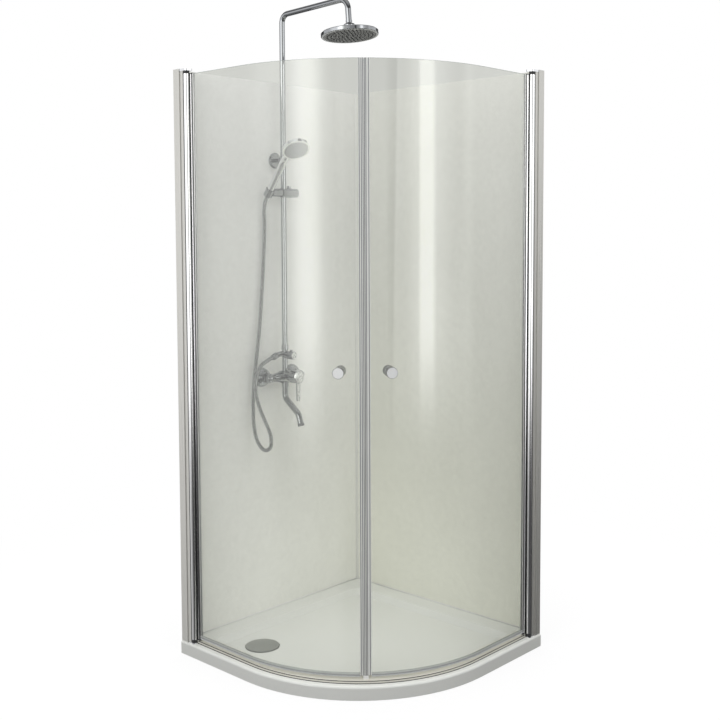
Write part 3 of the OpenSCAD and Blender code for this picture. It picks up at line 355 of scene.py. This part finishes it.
def make_fixed_trims():
    """Dark rubber lines at the sill strip's foot and on its front chamfer, painted shade, and
    silicone between the tray and the boards.
    """
    foot = whole_sill(FOOT_INSET, TRAY_TOP + FOOT_RISE)
    nose = whole_sill(NOSE_INSET, TRAY_TOP + NOSE_RISE, NOSE_TILT)
    lines = [(FOOT_SHADE_LINE, foot), (NOSE_SHADE_LINE, nose)]
    trims["sill"] = sweeps("sill_shade_lines", lines, "frame")

    low = [(Vector((PANEL_FACE, y, TRAY_TOP)), X_AXIS, UP) for y in JOINT_Y]
    back = [(across(o), across(s), u) for o, s, u in low]
    trims["silicone"] = sweeps("silicone_joint", [(COVE, low), (COVE, back)], "frame")


make_door_trims("left")
make_door_trims("right")
make_fixed_trims()

# The hand shower's nozzles: where the holder grips it, from there to the head's middle and
# the plate's height on the head. Each ring has NOZZLES_MORE nozzles more than the one inside
# it. A collar is radii with heights over the plate.
GRIP_AT = Vector((-0.396, -0.065, 1.619))
GRIP_TO_HEAD = Vector((0.034, 0, 0.212))
PLATE_HEIGHT = 0.0116
NOZZLE_RINGS, NOZZLE_STEP, NOZZLES_MORE = 4, 0.0096, 6
COLLAR = [(0.0034, -0.0004), (0.0032, 0.0002), (0.0018, 0.0004)]
COLLAR_SIDES = 12


def turned(degrees, axis):
    return Matrix.Rotation(math.radians(degrees), 3, axis)


def make_collars():
    """Dark rubber rings round the hand shower's nozzles."""
    seat = turned(HAND_LEAN, "Y") @ turned(HAND_TURN, "Z")
    head = seat @ turned(HAND_NOD, "Y")
    centre = GRIP_AT + seat @ GRIP_TO_HEAD

    def around(angle):
        return head.col[0] * math.cos(angle) + head.col[1] * math.sin(angle)

    verts, faces = [], []
    for ring in range(1, NOZZLE_RINGS + 1):
        nozzles = ring * NOZZLES_MORE
        for i in range(nozzles):
            spot = centre + around(math.tau * i / nozzles) * ring * NOZZLE_STEP
            base = len(verts)
            for r, height in COLLAR:
                for k in range(COLLAR_SIDES):
                    rim = around(math.tau * k / COLLAR_SIDES) * r
                    verts.append(spot + rim + head.col[2] * (PLATE_HEIGHT + height))
            for row in range(len(COLLAR) - 1):
                for k in range(COLLAR_SIDES):
                    p = base + row * COLLAR_SIDES + k
                    q = base + row * COLLAR_SIDES + (k + 1) % COLLAR_SIDES
                    faces.append((p, q, q + COLLAR_SIDES, p + COLLAR_SIDES))
            faces.append(tuple(reversed(range(base, base + COLLAR_SIDES))))
            faces.append(tuple(range(len(verts) - COLLAR_SIDES, len(verts))))
    collars = mesh_object("nozzle_collars", verts, faces, smooth=False)
    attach(collars, "hand_shower")
    return collars


trims["collar"] = make_collars()


# Materials.
class Shader:
    """A material's node tree, built by name."""

    def __init__(self, name):
        self.mat = bpy.data.materials.new(name)
        self.mat.use_nodes = True
        self.tree = self.mat.node_tree
        self.tree.nodes.clear()
        self.out = self.add("ShaderNodeOutputMaterial")

    def add(self, kind, **inputs):
        node = self.tree.nodes.new(kind)
        self.fill(node, inputs)
        return node

    def fill(self, node, inputs):
        """Set or link inputs by name, with _ for a space, or by number, such as i0."""
        for key, value in inputs.items():
            name = key.replace("_", " ")
            if name in node.inputs:
                socket = node.inputs[name]
            else:
                socket = node.inputs[int(key[1:])]
            if isinstance(value, bpy.types.NodeSocket):
                self.tree.links.new(value, socket)
            else:
                socket.default_value = value

    def show(self, socket):
        self.tree.links.new(socket, self.out.inputs["Surface"])

    def place(self, scale, offset=(0, 0, 0)):
        """Object coordinates, stretched: larger numbers give finer pattern."""
        coord = self.add("ShaderNodeTexCoord")
        mapping = self.add("ShaderNodeMapping", Vector=coord.outputs["Object"])
        mapping.inputs["Scale"].default_value = scale
        mapping.inputs["Location"].default_value = offset
        return mapping.outputs["Vector"]

    def noise(self, scale, detail=3.0, rough=0.55, offset=(0, 0, 0)):
        node = self.add("ShaderNodeTexNoise", Vector=self.place(scale, offset))
        node.inputs["Scale"].default_value = 1.0
        node.inputs["Detail"].default_value = detail
        node.inputs["Roughness"].default_value = rough
        return node.outputs["Fac"]

    def span(self, value, from_lo, from_hi, to_lo, to_hi, smooth=False):
        node = self.add("ShaderNodeMapRange", Value=value)
        node.interpolation_type = "SMOOTHSTEP" if smooth else "LINEAR"
        numbers = {"From Min": from_lo, "From Max": from_hi, "To Min": to_lo, "To Max": to_hi}
        for key, number in numbers.items():
            node.inputs[key].default_value = number
        return node.outputs["Result"]

    def spread(self, noise, lo=0.0, hi=1.0):
        """A noise's middle range, stretched to lo and hi."""
        return self.span(noise, 0.3, 0.7, lo, hi)

    def blend(self, fac, a, b):
        """Colour between a and b, each a colour or a socket."""
        node = self.add("ShaderNodeMix")
        node.data_type = "RGBA"
        for socket, value in ((node.inputs[0], fac), (node.inputs[6], a), (node.inputs[7], b)):
            if isinstance(value, bpy.types.NodeSocket):
                self.tree.links.new(value, socket)
            else:
                socket.default_value = value
        return node.outputs[2]

    def bump(self, height, strength, distance):
        node = self.add("ShaderNodeBump", Height=height)
        node.inputs["Strength"].default_value = strength
        node.inputs["Distance"].default_value = distance
        return node.outputs["Normal"]

    def maths(self, how, a, b=0.0):
        node = self.add("ShaderNodeMath")
        node.operation = how
        for socket, value in zip(node.inputs, (a, b)):
            if isinstance(value, bpy.types.NodeSocket):
                self.tree.links.new(value, socket)
            else:
                socket.default_value = value
        return node.outputs["Value"]


def rgb(r, g, b):
    """Linear colour from the 0 to 255 values of a picture."""
    def linear(c):
        c /= 255
        return c / 12.92 if c <= 0.04045 else ((c + 0.055) / 1.055) ** 2.4
    return (linear(r), linear(g), linear(b), 1.0)


WHITE = (1, 1, 1, 1)


def shade(colour, k):
    """The colour times k."""
    return tuple(c * k for c in colour[:3]) + (1.0,)


def plain(name, colour, rough, metallic=0.0, grain=(60, 60, 60), tone=0.06, gloss=0.08,
          bump=0.05, depth=0.0002, patch=(3, 3, 3), **sockets):
    """Fine grain over slow patches: colour by tone, roughness by gloss, relief by bump."""
    s = Shader(name)
    fine = s.noise(grain, 4.0)
    slow = s.noise(patch, 2.0, offset=(7.3, 1.9, 4.1))
    both = s.maths("MULTIPLY_ADD", fine, 0.5)
    s.tree.links.new(s.maths("MULTIPLY", slow, 0.5), both.node.inputs[2])
    part = s.span(both, 0.35, 0.65, 0.0, 1.0)
    bsdf = s.add("ShaderNodeBsdfPrincipled")
    s.fill(bsdf, {
        "Base_Color": s.blend(part, shade(colour, 1 - tone), shade(colour, 1 + tone)),
        "Roughness": s.span(both, 0.35, 0.65, max(rough - gloss, 0.01), rough + gloss),
        "Normal": s.bump(fine, bump, depth),
    })
    bsdf.inputs["Metallic"].default_value = metallic
    for key, value in sockets.items():
        bsdf.inputs[key.replace("_", " ")].default_value = value
    s.show(bsdf.outputs["BSDF"])
    return s


GLASS_IOR = 1.5
GLASS_SHINE = 1.35
GLASS_MOST_SHINE = 0.9
GLASS_TINT = (0.972, 0.977, 0.970, 1)
GLASS_EDGE = (0.42, 0.60, 0.54, 1)


def make_glass():
    """Toughened clear glass: tinted see-through body, clean reflections, green edges."""
    s = Shader("glass")
    geo = s.add("ShaderNodeNewGeometry")
    ior = s.span(geo.outputs["Backfacing"], 0, 1, GLASS_IOR, 1 / GLASS_IOR)
    fresnel = s.add("ShaderNodeFresnel", IOR=ior)
    shine = s.maths("MULTIPLY", fresnel.outputs["Fac"], GLASS_SHINE)
    shine = s.maths("MINIMUM", shine, GLASS_MOST_SHINE)
    haze = s.noise((5, 5, 2), 3.0)
    clear = s.add("ShaderNodeBsdfTransparent")
    clear.inputs["Color"].default_value = GLASS_TINT
    gloss = s.add("ShaderNodeBsdfGlossy", Roughness=s.spread(haze, 0.01, 0.05))
    gloss.inputs["Color"].default_value = WHITE
    body = s.add("ShaderNodeMixShader", Fac=shine)
    s.tree.links.new(clear.outputs[0], body.inputs[1])
    s.tree.links.new(gloss.outputs[0], body.inputs[2])
    edge = s.add("ShaderNodeBsdfPrincipled")
    edge.inputs["Base Color"].default_value = GLASS_EDGE
    edge.inputs["Roughness"].default_value = 0.15
    axis = s.add("ShaderNodeSeparateXYZ", Vector=geo.outputs["True Normal"])
    rim = s.span(s.maths("ABSOLUTE", axis.outputs["Z"]), 0.7, 0.9, 0.0, 0.75)
    whole = s.add("ShaderNodeMixShader", Fac=rim)
    s.tree.links.new(body.outputs[0], whole.inputs[1])
    s.tree.links.new(edge.outputs[0], whole.inputs[2])
    s.show(whole.outputs[0])
    return s


SEAL_TINT = (0.95, 0.96, 0.95, 1)


def make_seal(name, colour, clear):
    """Soft clear plastic: milky, partly see-through."""
    s = plain(name, colour, 0.32, grain=(90, 90, 14), tone=0.04, gloss=0.06, bump=0.04)
    bsdf = s.out.inputs["Surface"].links[0].from_socket
    see = s.add("ShaderNodeBsdfTransparent")
    see.inputs["Color"].default_value = SEAL_TINT
    mix = s.add("ShaderNodeMixShader")
    mix.inputs["Fac"].default_value = clear
    s.tree.links.new(bsdf, mix.inputs[1])
    s.tree.links.new(see.outputs[0], mix.inputs[2])
    s.show(mix.outputs[0])
    return s


FIN_TOP = (0.0668, 0.0674)


def make_bottom_seal():
    """Clear plastic clip above, grey wiping fin below."""
    s = make_seal("bottom_seal", rgb(214, 215, 213), 0.5)
    upper = s.out.inputs["Surface"].links[0].from_socket
    grain = s.noise((120, 120, 40), 3.0, offset=(4, 4, 4))
    fin = s.add("ShaderNodeBsdfPrincipled")
    s.fill(fin, {
        "Base_Color": s.blend(s.spread(grain), rgb(186, 188, 188), rgb(204, 206, 205)),
        "Roughness": s.spread(grain, 0.3, 0.42),
    })
    height = s.add("ShaderNodeSeparateXYZ", Vector=s.place((1, 1, 1)))
    part = s.span(height.outputs["Z"], *FIN_TOP, 1, 0)
    mix = s.add("ShaderNodeMixShader", Fac=part)
    s.tree.links.new(upper, mix.inputs[1])
    s.tree.links.new(fin.outputs[0], mix.inputs[2])
    s.show(mix.outputs[0])
    return s


# Heights between which the boards' painted shade runs from the lighter bottom to the darker top.
PANEL_SHADE_FADE = (0.1, 1.7)


def make_panel(name, top, low):
    """Satin wall board: fine mottling, with painted shade: its tone darker at the top, lighter
    towards the bottom.
    """
    s = Shader(name)
    speck = s.noise((55, 55, 55), 6.0, 0.7)
    cloud = s.noise((2.2, 2.2, 1.6), 3.0, offset=(3, 8, 1))
    height = s.add("ShaderNodeSeparateXYZ", Vector=s.place((1, 1, 1)))
    # Painted shade: the colour runs by height from the lighter low tone to the darker top tone.
    painted_shade = s.span(height.outputs["Z"], *PANEL_SHADE_FADE, 0.0, 1.0, smooth=True)
    base = s.blend(painted_shade, low, top)
    spot = s.blend(s.spread(speck), (0.955, 0.955, 0.95, 1), (1.04, 1.04, 1.04, 1))
    wide = s.blend(s.spread(cloud), (0.97, 0.97, 0.965, 1), (1.02, 1.02, 1.02, 1))
    for other in (spot, wide):
        mul = s.add("ShaderNodeMix")
        mul.data_type = "RGBA"
        mul.blend_type = "MULTIPLY"
        mul.inputs[0].default_value = 1.0
        s.tree.links.new(base, mul.inputs[6])
        s.tree.links.new(other, mul.inputs[7])
        base = mul.outputs[2]
    bsdf = s.add("ShaderNodeBsdfPrincipled")
    s.fill(bsdf, {
        "Base_Color": base,
        "Roughness": s.spread(speck, 0.42, 0.55),
        "Normal": s.bump(speck, 0.08, 0.0004),
    })
    bsdf.inputs["Specular IOR Level"].default_value = 0.35
    s.show(bsdf.outputs["BSDF"])
    return s


# A face is square to an axis where its normal's share along it passes through this range.
SQUARE = (0.93, 0.97)


def chrome_with_faces(name, axis, face, rough, metallic, side=None):
    """Polished chrome, or a dark grainy side colour that is painted shade, whose flat faces square
    to axis are satin.
    """
    tone = 0.3 if side else 0.015
    s = plain(name, side or COLUMN_SHADED_CHROME, 0.045, 1.0, grain=(260, 260, 260), tone=tone, gloss=0.015,
              bump=0.005)
    polished = s.out.inputs["Surface"].links[0].from_socket
    grain = s.noise((160, 160, 160), 3.0, offset=(2, 5, 3))
    satin = s.add("ShaderNodeBsdfPrincipled")
    s.fill(satin, {
        "Base_Color": s.blend(s.spread(grain), shade(face, 0.97), shade(face, 1.03)),
        "Roughness": s.spread(grain, rough - 0.04, rough + 0.04),
        "Normal": s.bump(grain, 0.05, 0.0002),
    })
    satin.inputs["Metallic"].default_value = metallic
    coord = s.add("ShaderNodeTexCoord")
    square = s.add("ShaderNodeVectorMath", i0=coord.outputs["Normal"])
    square.operation = "DOT_PRODUCT"
    square.inputs[1].default_value = tuple(Vector(axis).normalized())
    part = s.span(s.maths("ABSOLUTE", square.outputs["Value"]), *SQUARE, 0, 1)
    mix = s.add("ShaderNodeMixShader", Fac=part)
    s.tree.links.new(polished, mix.inputs[1])
    s.tree.links.new(satin.outputs[0], mix.inputs[2])
    s.show(mix.outputs[0])
    return s


def make_spray(name, node, way, plate, nozzle, tall):
    """A plate that faces way, with nozzles of another tone as far as they are tall."""
    s = plain(name, plate, 0.34, grain=(200, 200, 200), tone=0.05, gloss=0.06, bump=0.05)
    mesh = nodes[node].data
    axis = Vector()
    for face in mesh.polygons:
        if face.normal.dot(Vector(way)) > 0.5:
            axis += face.normal * face.area
    axis.normalize()
    level = max(v.co.dot(axis) for v in mesh.vertices) - tall
    height = s.add("ShaderNodeVectorMath", i0=s.place((1, 1, 1)))
    height.operation = "DOT_PRODUCT"
    height.inputs[1].default_value = tuple(axis)
    bsdf = s.out.inputs["Surface"].links[0].from_node
    base = bsdf.inputs["Base Color"].links[0].from_socket
    top = s.span(height.outputs["Value"], level, level + 0.0003, 0, 1)
    s.tree.links.new(s.blend(top, base, nozzle), bsdf.inputs["Base Color"])
    return s


def make_hose_metal():
    """Wound steel, its grooves between the turns darkened with painted shade."""
    s = plain("hose", rgb(188, 190, 192), 0.18, 1.0, grain=(90, 90, 90), tone=0.06, gloss=0.05,
              bump=0.02)
    bsdf = s.out.inputs["Surface"].links[0].from_node
    base = bsdf.inputs["Base Color"].links[0].from_socket
    groove = s.add("ShaderNodeAttribute")
    groove.attribute_name = "groove"
    # Painted shade: the colour darkens in the grooves of the wound rib.
    groove_shade = s.span(groove.outputs["Fac"], 0.08, 0.7, 0, 1)
    s.tree.links.new(s.blend(groove_shade, base, rgb(62, 63, 66)), bsdf.inputs["Base Color"])
    return s


WASTE_AT = (-0.232, -0.264)
WASTE_RINGS = 1400.0


def make_waste():
    """Turned steel: fine rings round the waste's axis."""
    s = Shader("waste_steel")
    at = s.place((1, 1, 1), (-WASTE_AT[0], -WASTE_AT[1], 0))
    flat = s.add("ShaderNodeVectorMath", i0=at)
    flat.operation = "MULTIPLY"
    flat.inputs[1].default_value = (1, 1, 0)
    far = s.add("ShaderNodeVectorMath", i0=flat.outputs[0])
    far.operation = "LENGTH"
    ring = s.add("ShaderNodeTexNoise")
    ring.noise_dimensions = "1D"
    s.tree.links.new(s.maths("MULTIPLY", far.outputs["Value"], WASTE_RINGS), ring.inputs["W"])
    ring.inputs["Scale"].default_value = 1.0
    patch = s.noise((14, 14, 14), 3.0)
    share = s.spread(ring.outputs["Fac"])
    bsdf = s.add("ShaderNodeBsdfPrincipled")
    s.fill(bsdf, {
        "Base_Color": s.blend(share, rgb(128, 130, 127), rgb(176, 178, 175)),
        "Roughness": s.spread(patch, 0.30, 0.44),
        "Normal": s.bump(ring.outputs["Fac"], 0.12, 0.0002),
    })
    bsdf.inputs["Metallic"].default_value = 0.75
    s.show(bsdf.outputs["BSDF"])
    return s


CHROME = rgb(232, 233, 236)
# Chrome of the column, mixer and lever, darker than CHROME: painted shade that dims their
# reflections.
COLUMN_SHADED_CHROME = rgb(162, 164, 167)
SATIN = rgb(232, 233, 233)
SATIN_CHROME = rgb(214, 215, 214)
# The knobs' round sides, darker than their faces: painted shade.
KNOB_SIDE_SHADE = rgb(118, 119, 122)
# Where flat faces look: the knobs' in degrees from +X, the spray plate's as a direction.
LEFT_KNOB_WAY, RIGHT_KNOB_WAY = -53.3, -36.7
SPRAY_WAY = (0.54, -0.24, -0.81)

# Finishes by the record's slots.
finish = {
    "tray": plain(
        "tray", rgb(215, 216, 212), 0.16, grain=(120, 120, 120), tone=0.012, gloss=0.05,
        bump=0.015, patch=(4, 4, 4), Coat_Weight=0.25, Coat_Roughness=0.06),
    # The left board is lighter than the right one, though both are the same board: painted light
    # and shade.
    "panel": make_panel("panel_left", rgb(232, 232, 229), rgb(247, 247, 242)),
    "strip": plain(
        "strip", rgb(226, 226, 222), 0.3, grain=(80, 80, 20), tone=0.02, gloss=0.05, bump=0.03),
    "waste_steel": make_waste(),
    "black_plastic": plain(
        "black_plastic", rgb(38, 38, 40), 0.42, grain=(400, 400, 400), tone=0.2, gloss=0.1,
        bump=0.15),
    "rubber": plain(
        "rubber", rgb(34, 34, 35), 0.6, grain=(300, 300, 40), tone=0.2, gloss=0.1, bump=0.12),
    "profile": plain(
        "profile", rgb(212, 211, 206), 0.30, 0.72, grain=(700, 700, 3), tone=0.035, gloss=0.05,
        bump=0.04, patch=(9, 9, 1)),
    "trim": plain(
        "trim", rgb(222, 222, 220), 0.35, grain=(200, 200, 200), tone=0.03, gloss=0.06,
        bump=0.06),
    "screw_steel": plain(
        "screw_steel", rgb(186, 186, 186), 0.28, 1.0, grain=(500, 500, 500), tone=0.06,
        gloss=0.08, bump=0.06),
    "chrome": plain(
        "chrome", CHROME, 0.04, 1.0, grain=(26, 26, 26), tone=0.015, gloss=0.015, bump=0.005,
        patch=(6, 6, 6)),
    "post": plain(
        "post", rgb(236, 236, 237), 0.10, 1.0, grain=(40, 40, 1.5), tone=0.02, gloss=0.02,
        bump=0.004, patch=(5, 5, 1)),
    "glass": make_glass(),
    "seal": make_seal("seal", rgb(232, 233, 230), 0.25),
    "magnet": plain("magnet", rgb(120, 120, 120), 0.6, grain=(200, 200, 20), tone=0.1, bump=0.1),
    "fixing": make_seal("fixing", rgb(230, 232, 231), 0.2),
    "brass": plain(
        "cartridge_steel", rgb(186, 186, 184), 0.2, 1.0, grain=(300, 300, 300), tone=0.06,
        gloss=0.06, bump=0.03),
    "plated_plastic": plain(
        "plated_plastic", rgb(230, 231, 233), 0.08, 1.0, grain=(40, 40, 40), tone=0.02,
        gloss=0.04, bump=0.01),
    "nozzle": make_spray(
        "nozzle", "nozzle_plate", (0, 0, -1), rgb(88, 89, 91), rgb(22, 22, 24), 0.0018),
    "spray_face": make_spray(
        "spray_face", "handset_face", SPRAY_WAY, rgb(218, 220, 219), rgb(88, 90, 92), 0.0019),
    "hose": make_hose_metal(),
}
slot_of = {part["node"]: part["material_slot"] for part in frame["record"]["subparts"]}

# Finishes of single nodes, before those of their slots.
# The column's chrome in a darker copy: painted shade.
shaded_column_chrome = plain(
    "shaded_column_chrome", COLUMN_SHADED_CHROME, 0.045, 1.0, grain=(26, 26, 26), tone=0.015, gloss=0.015,
    bump=0.005, patch=(6, 6, 6))
bottom_seal = make_bottom_seal()
special = {
    # Right wall board, darker than the left: painted shade.
    "wall_panel_right": make_panel("panel_right", rgb(225, 225, 219), rgb(243, 243, 233)),
    "door_knobs_left": chrome_with_faces(
        "knob_left", compass(LEFT_KNOB_WAY), SATIN, 0.35, 0.2, KNOB_SIDE_SHADE),
    "door_knobs_right": chrome_with_faces(
        "knob_right", compass(RIGHT_KNOB_WAY), SATIN, 0.35, 0.2, KNOB_SIDE_SHADE),
    "lever_handle": chrome_with_faces("lever_chrome", X_AXIS, SATIN_CHROME, 0.28, 0.7),
    "diverter_knob": chrome_with_faces("diverter_chrome", X_AXIS, SATIN_CHROME, 0.28, 0.7),
    "bottom_seal_left": bottom_seal,
    "bottom_seal_right": bottom_seal,
    "sill_strip": plain(
        "sill_satin", rgb(214, 212, 202), 0.34, 0.25, grain=(90, 90, 90), tone=0.03, gloss=0.05,
        bump=0.03),
    "aerator": plain(
        "aerator", rgb(120, 121, 122), 0.35, 0.8, grain=(400, 400, 400), tone=0.1, bump=0.05),
}
for name in (
        "wall_rosettes", "wall_unions", "mixer_body", "spout", "diverter_body",
        "riser_coupling", "riser_pipe", "riser_bracket", "hose_cone_nut", "hose_valve_nut",
        "head_collar", "overhead_head", "slider_body", "slider_knob", "handset_holder"):
    special[name] = shaded_column_chrome

# Finishes of the trims, by the first word of their keys.
trim_finish = {
    "rib": make_seal("seal_rib", rgb(92, 94, 100), 0.25),
    # Rubber of the post's pocket beads, partly painted shade.
    "post": finish["rubber"],
    "pale": finish["seal"],
    # Grey of the bead along the bottom seal: painted shadow.
    "lip": plain(
        "seal_lip", rgb(122, 124, 125), 0.45, grain=(200, 200, 60), tone=0.06, bump=0.04),
    # The sill's dark lines are painted shade.
    "sill": finish["rubber"],
    "silicone": finish["trim"],
    "collar": plain(
        "nozzle_rubber", rgb(30, 31, 32), 0.5, grain=(300, 300, 300), tone=0.1, bump=0.05),
}


def dress():
    for name, obj in nodes.items():
        mat = special.get(name, finish[slot_of[name]]).mat
        for held in obj.material_slots:
            held.link = "OBJECT"
            held.material = mat
    hose.data.materials.append(finish["hose"].mat)
    for key, piece in trims.items():
        piece.data.materials.append(trim_finish[key.split("_")[0]].mat)


dress()

# Stage and light. The backdrop is white, and darker where it is seen through a pane.
BACKDROP_THROUGH_GLASS = 0.61
TINT_THROUGH_GLASS = (0.995, 1.0, 0.95, 1)
AMBIENT = 0.77

FLOOR_HALF = 14.0
FLOOR_DROP = 0.0005
FLOOR_TONE = (0.24, 0.24, 0.24, 1)
SHADOW_TONE = (0.80, 0.80, 0.80, 1)
SHADOW_FADE = (0.7, 2.2)
GLOW_NEAR = 0.86

# What shiny parts mirror: a dark surround, a glow from above and below, and tall soft boxes.
# A box is the azimuth from +X in degrees where it starts, is full, is still full and ends,
# the slopes where it starts and is full, and its strength.
SURROUND = 0.07
GLOW_ABOVE = {"from_lo": 0.40, "from_hi": 0.95, "to_lo": 0.0, "to_hi": 0.60}
GLOW_BELOW = {"from_lo": -0.95, "from_hi": -0.30, "to_lo": 0.16, "to_hi": 0.0}
BOXES = [
    (-172, -166, -124, -96, -0.55, 0.0, 0.64),
    (-178, -168, -66, -54, -0.85, -0.30, 0.28),
    (-102, -85, -83, -68, -0.26, -0.06, 1.9),
    (-140, -97, -80, -52, -0.24, -0.06, 1.3),
    (-66, -56, -50, -46, -0.30, -0.06, 0.8),
    (-50, -47, -30, -22, -0.26, 0.0, 0.62),
    (-20.5, -18.5, 30, 48, -0.24, -0.07, 0.85),
    (-16, -1, 3, 30, -0.22, -0.07, 1.05),
    (-5, -1, 6, 11, -0.22, -0.07, 1.75),
    (30, 42, 76, 90, -0.34, 0.22, 1.0),
    (104, 112, 140, 148, -0.3, 0.0, 1.0),
]
BOXES_TOP = (0.26, 0.42)


def make_floor():
    """Pale floor: white as seen by the camera, with the object's shadow near it."""
    corners = [(-1, -1), (1, -1), (1, 1), (-1, 1)]
    verts = [(x * FLOOR_HALF, y * FLOOR_HALF, 0) for x, y in corners]
    floor = mesh_object("floor", verts, [(0, 1, 2, 3)], smooth=False)
    floor.location.z = -FLOOR_DROP
    floor.visible_glossy = False
    s = Shader("floor")
    diffuse = s.add("ShaderNodeBsdfDiffuse")
    diffuse.inputs["Color"].default_value = FLOOR_TONE
    pale = s.add("ShaderNodeBsdfDiffuse")
    pale.inputs["Color"].default_value = SHADOW_TONE
    glow = s.add("ShaderNodeEmission", Strength=backdrop_level(s))
    far = s.add("ShaderNodeVectorMath", i0=s.place((1, 1, 1)))
    far.operation = "LENGTH"
    share = s.span(far.outputs["Value"], *SHADOW_FADE, GLOW_NEAR, 1.0, smooth=True)
    shown = s.add("ShaderNodeMixShader", Fac=share)
    s.tree.links.new(pale.outputs[0], shown.inputs[1])
    s.tree.links.new(glow.outputs[0], shown.inputs[2])
    path = s.add("ShaderNodeLightPath")
    seen = s.maths("MAXIMUM", path.outputs["Is Camera Ray"], path.outputs["Is Transmission Ray"])
    mix = s.add("ShaderNodeMixShader", Fac=seen)
    s.tree.links.new(diffuse.outputs[0], mix.inputs[1])
    s.tree.links.new(shown.outputs[0], mix.inputs[2])
    s.show(mix.outputs[0])
    floor.data.materials.append(s.mat)


def backdrop_level(s):
    """White, and the wall's tone where it is seen through a pane."""
    path = s.add("ShaderNodeLightPath")
    behind = s.maths("GREATER_THAN", path.outputs["Transparent Depth"], 0.5)
    return s.span(behind, 0, 1, 1.0, BACKDROP_THROUGH_GLASS)


def surround_level(s, way):
    """How bright the surround is in the direction way, for what mirrors it."""
    axis = s.add("ShaderNodeSeparateXYZ", Vector=way)
    x, y, slope = axis.outputs["X"], axis.outputs["Y"], axis.outputs["Z"]
    azimuth = s.maths("MULTIPLY", s.maths("ARCTAN2", y, x), 180 / math.pi)
    above = s.span(slope, **GLOW_ABOVE, smooth=True)
    below = s.span(slope, **GLOW_BELOW, smooth=True)
    total = s.maths("ADD", s.maths("ADD", above, below), SURROUND)
    for start, full, still, end, slope_0, slope_1, power in BOXES:
        rise = s.span(azimuth, start, full, 0.0, power, smooth=True)
        fall = s.span(azimuth, still, end, 1.0, 0.0, smooth=True)
        lift = s.span(slope, slope_0, slope_1, 0.0, 1.0, smooth=True)
        cap = s.span(slope, *BOXES_TOP, 1.0, 0.0, smooth=True)
        box = s.maths("MULTIPLY", s.maths("MULTIPLY", rise, fall), s.maths("MULTIPLY", lift, cap))
        total = s.maths("ADD", total, box)
    return total


def make_world():
    """White behind the object. In reflections dark flags and tall soft boxes stand before it."""
    world = bpy.data.worlds.new("studio")
    world.use_nodes = True
    scene.world = world
    s = Shader.__new__(Shader)
    s.tree = world.node_tree
    s.tree.nodes.clear()
    out = s.add("ShaderNodeOutputWorld")
    path = s.add("ShaderNodeLightPath")
    coord = s.add("ShaderNodeTexCoord")
    total = surround_level(s, coord.outputs["Generated"])
    direct = s.maths("LESS_THAN", path.outputs["Diffuse Depth"], 0.5)
    seen = s.maths("MULTIPLY", path.outputs["Is Transmission Ray"], direct)
    seen = s.maths("MAXIMUM", path.outputs["Is Camera Ray"], seen)
    shiny = path.outputs["Is Glossy Ray"]
    seen = s.maths("MAXIMUM", seen, shiny)
    wall = backdrop_level(s)
    dressed = s.maths("MULTIPLY", s.maths("SUBTRACT", total, wall), shiny)
    soft = s.add("ShaderNodeBackground")
    soft.inputs["Color"].default_value = WHITE
    soft.inputs["Strength"].default_value = AMBIENT
    clear = s.span(wall, BACKDROP_THROUGH_GLASS, 1.0, 0.0, 1.0)
    shown = s.add("ShaderNodeBackground", Strength=s.maths("ADD", wall, dressed),
                  Color=s.blend(clear, TINT_THROUGH_GLASS, WHITE))
    mix = s.add("ShaderNodeMixShader", Fac=seen)
    s.tree.links.new(soft.outputs[0], mix.inputs[1])
    s.tree.links.new(shown.outputs[0], mix.inputs[2])
    s.tree.links.new(mix.outputs[0], out.inputs["Surface"])


def softbox(name, at, aim, size, watts):
    """Area lamp that lights the object and is never seen itself."""
    lamp = bpy.data.lights.new(name, "AREA")
    lamp.shape = "RECTANGLE"
    lamp.size, lamp.size_y = size
    lamp.energy = watts
    obj = bpy.data.objects.new(name, lamp)
    obj.location = at
    obj.rotation_mode = "QUATERNION"
    obj.rotation_quaternion = (Vector(aim) - Vector(at)).to_track_quat("-Z", "Y")
    obj.visible_camera = False
    obj.visible_glossy = False
    obj.visible_transmission = False
    scene.collection.objects.link(obj)


make_floor()
make_world()
softbox("softbox_left", at=(0.9, -2.8, 2.2), aim=(0, 0, 0.8), size=(1.4, 1.8), watts=21)
softbox("softbox_right", at=(2.9, -0.3, 2.2), aim=(0, 0, 0.8), size=(1.2, 1.8), watts=5.5)
softbox("softbox_top", at=(-0.1, -0.1, 7.5), aim=(0, 0, 0), size=(4.5, 4.5), watts=415)
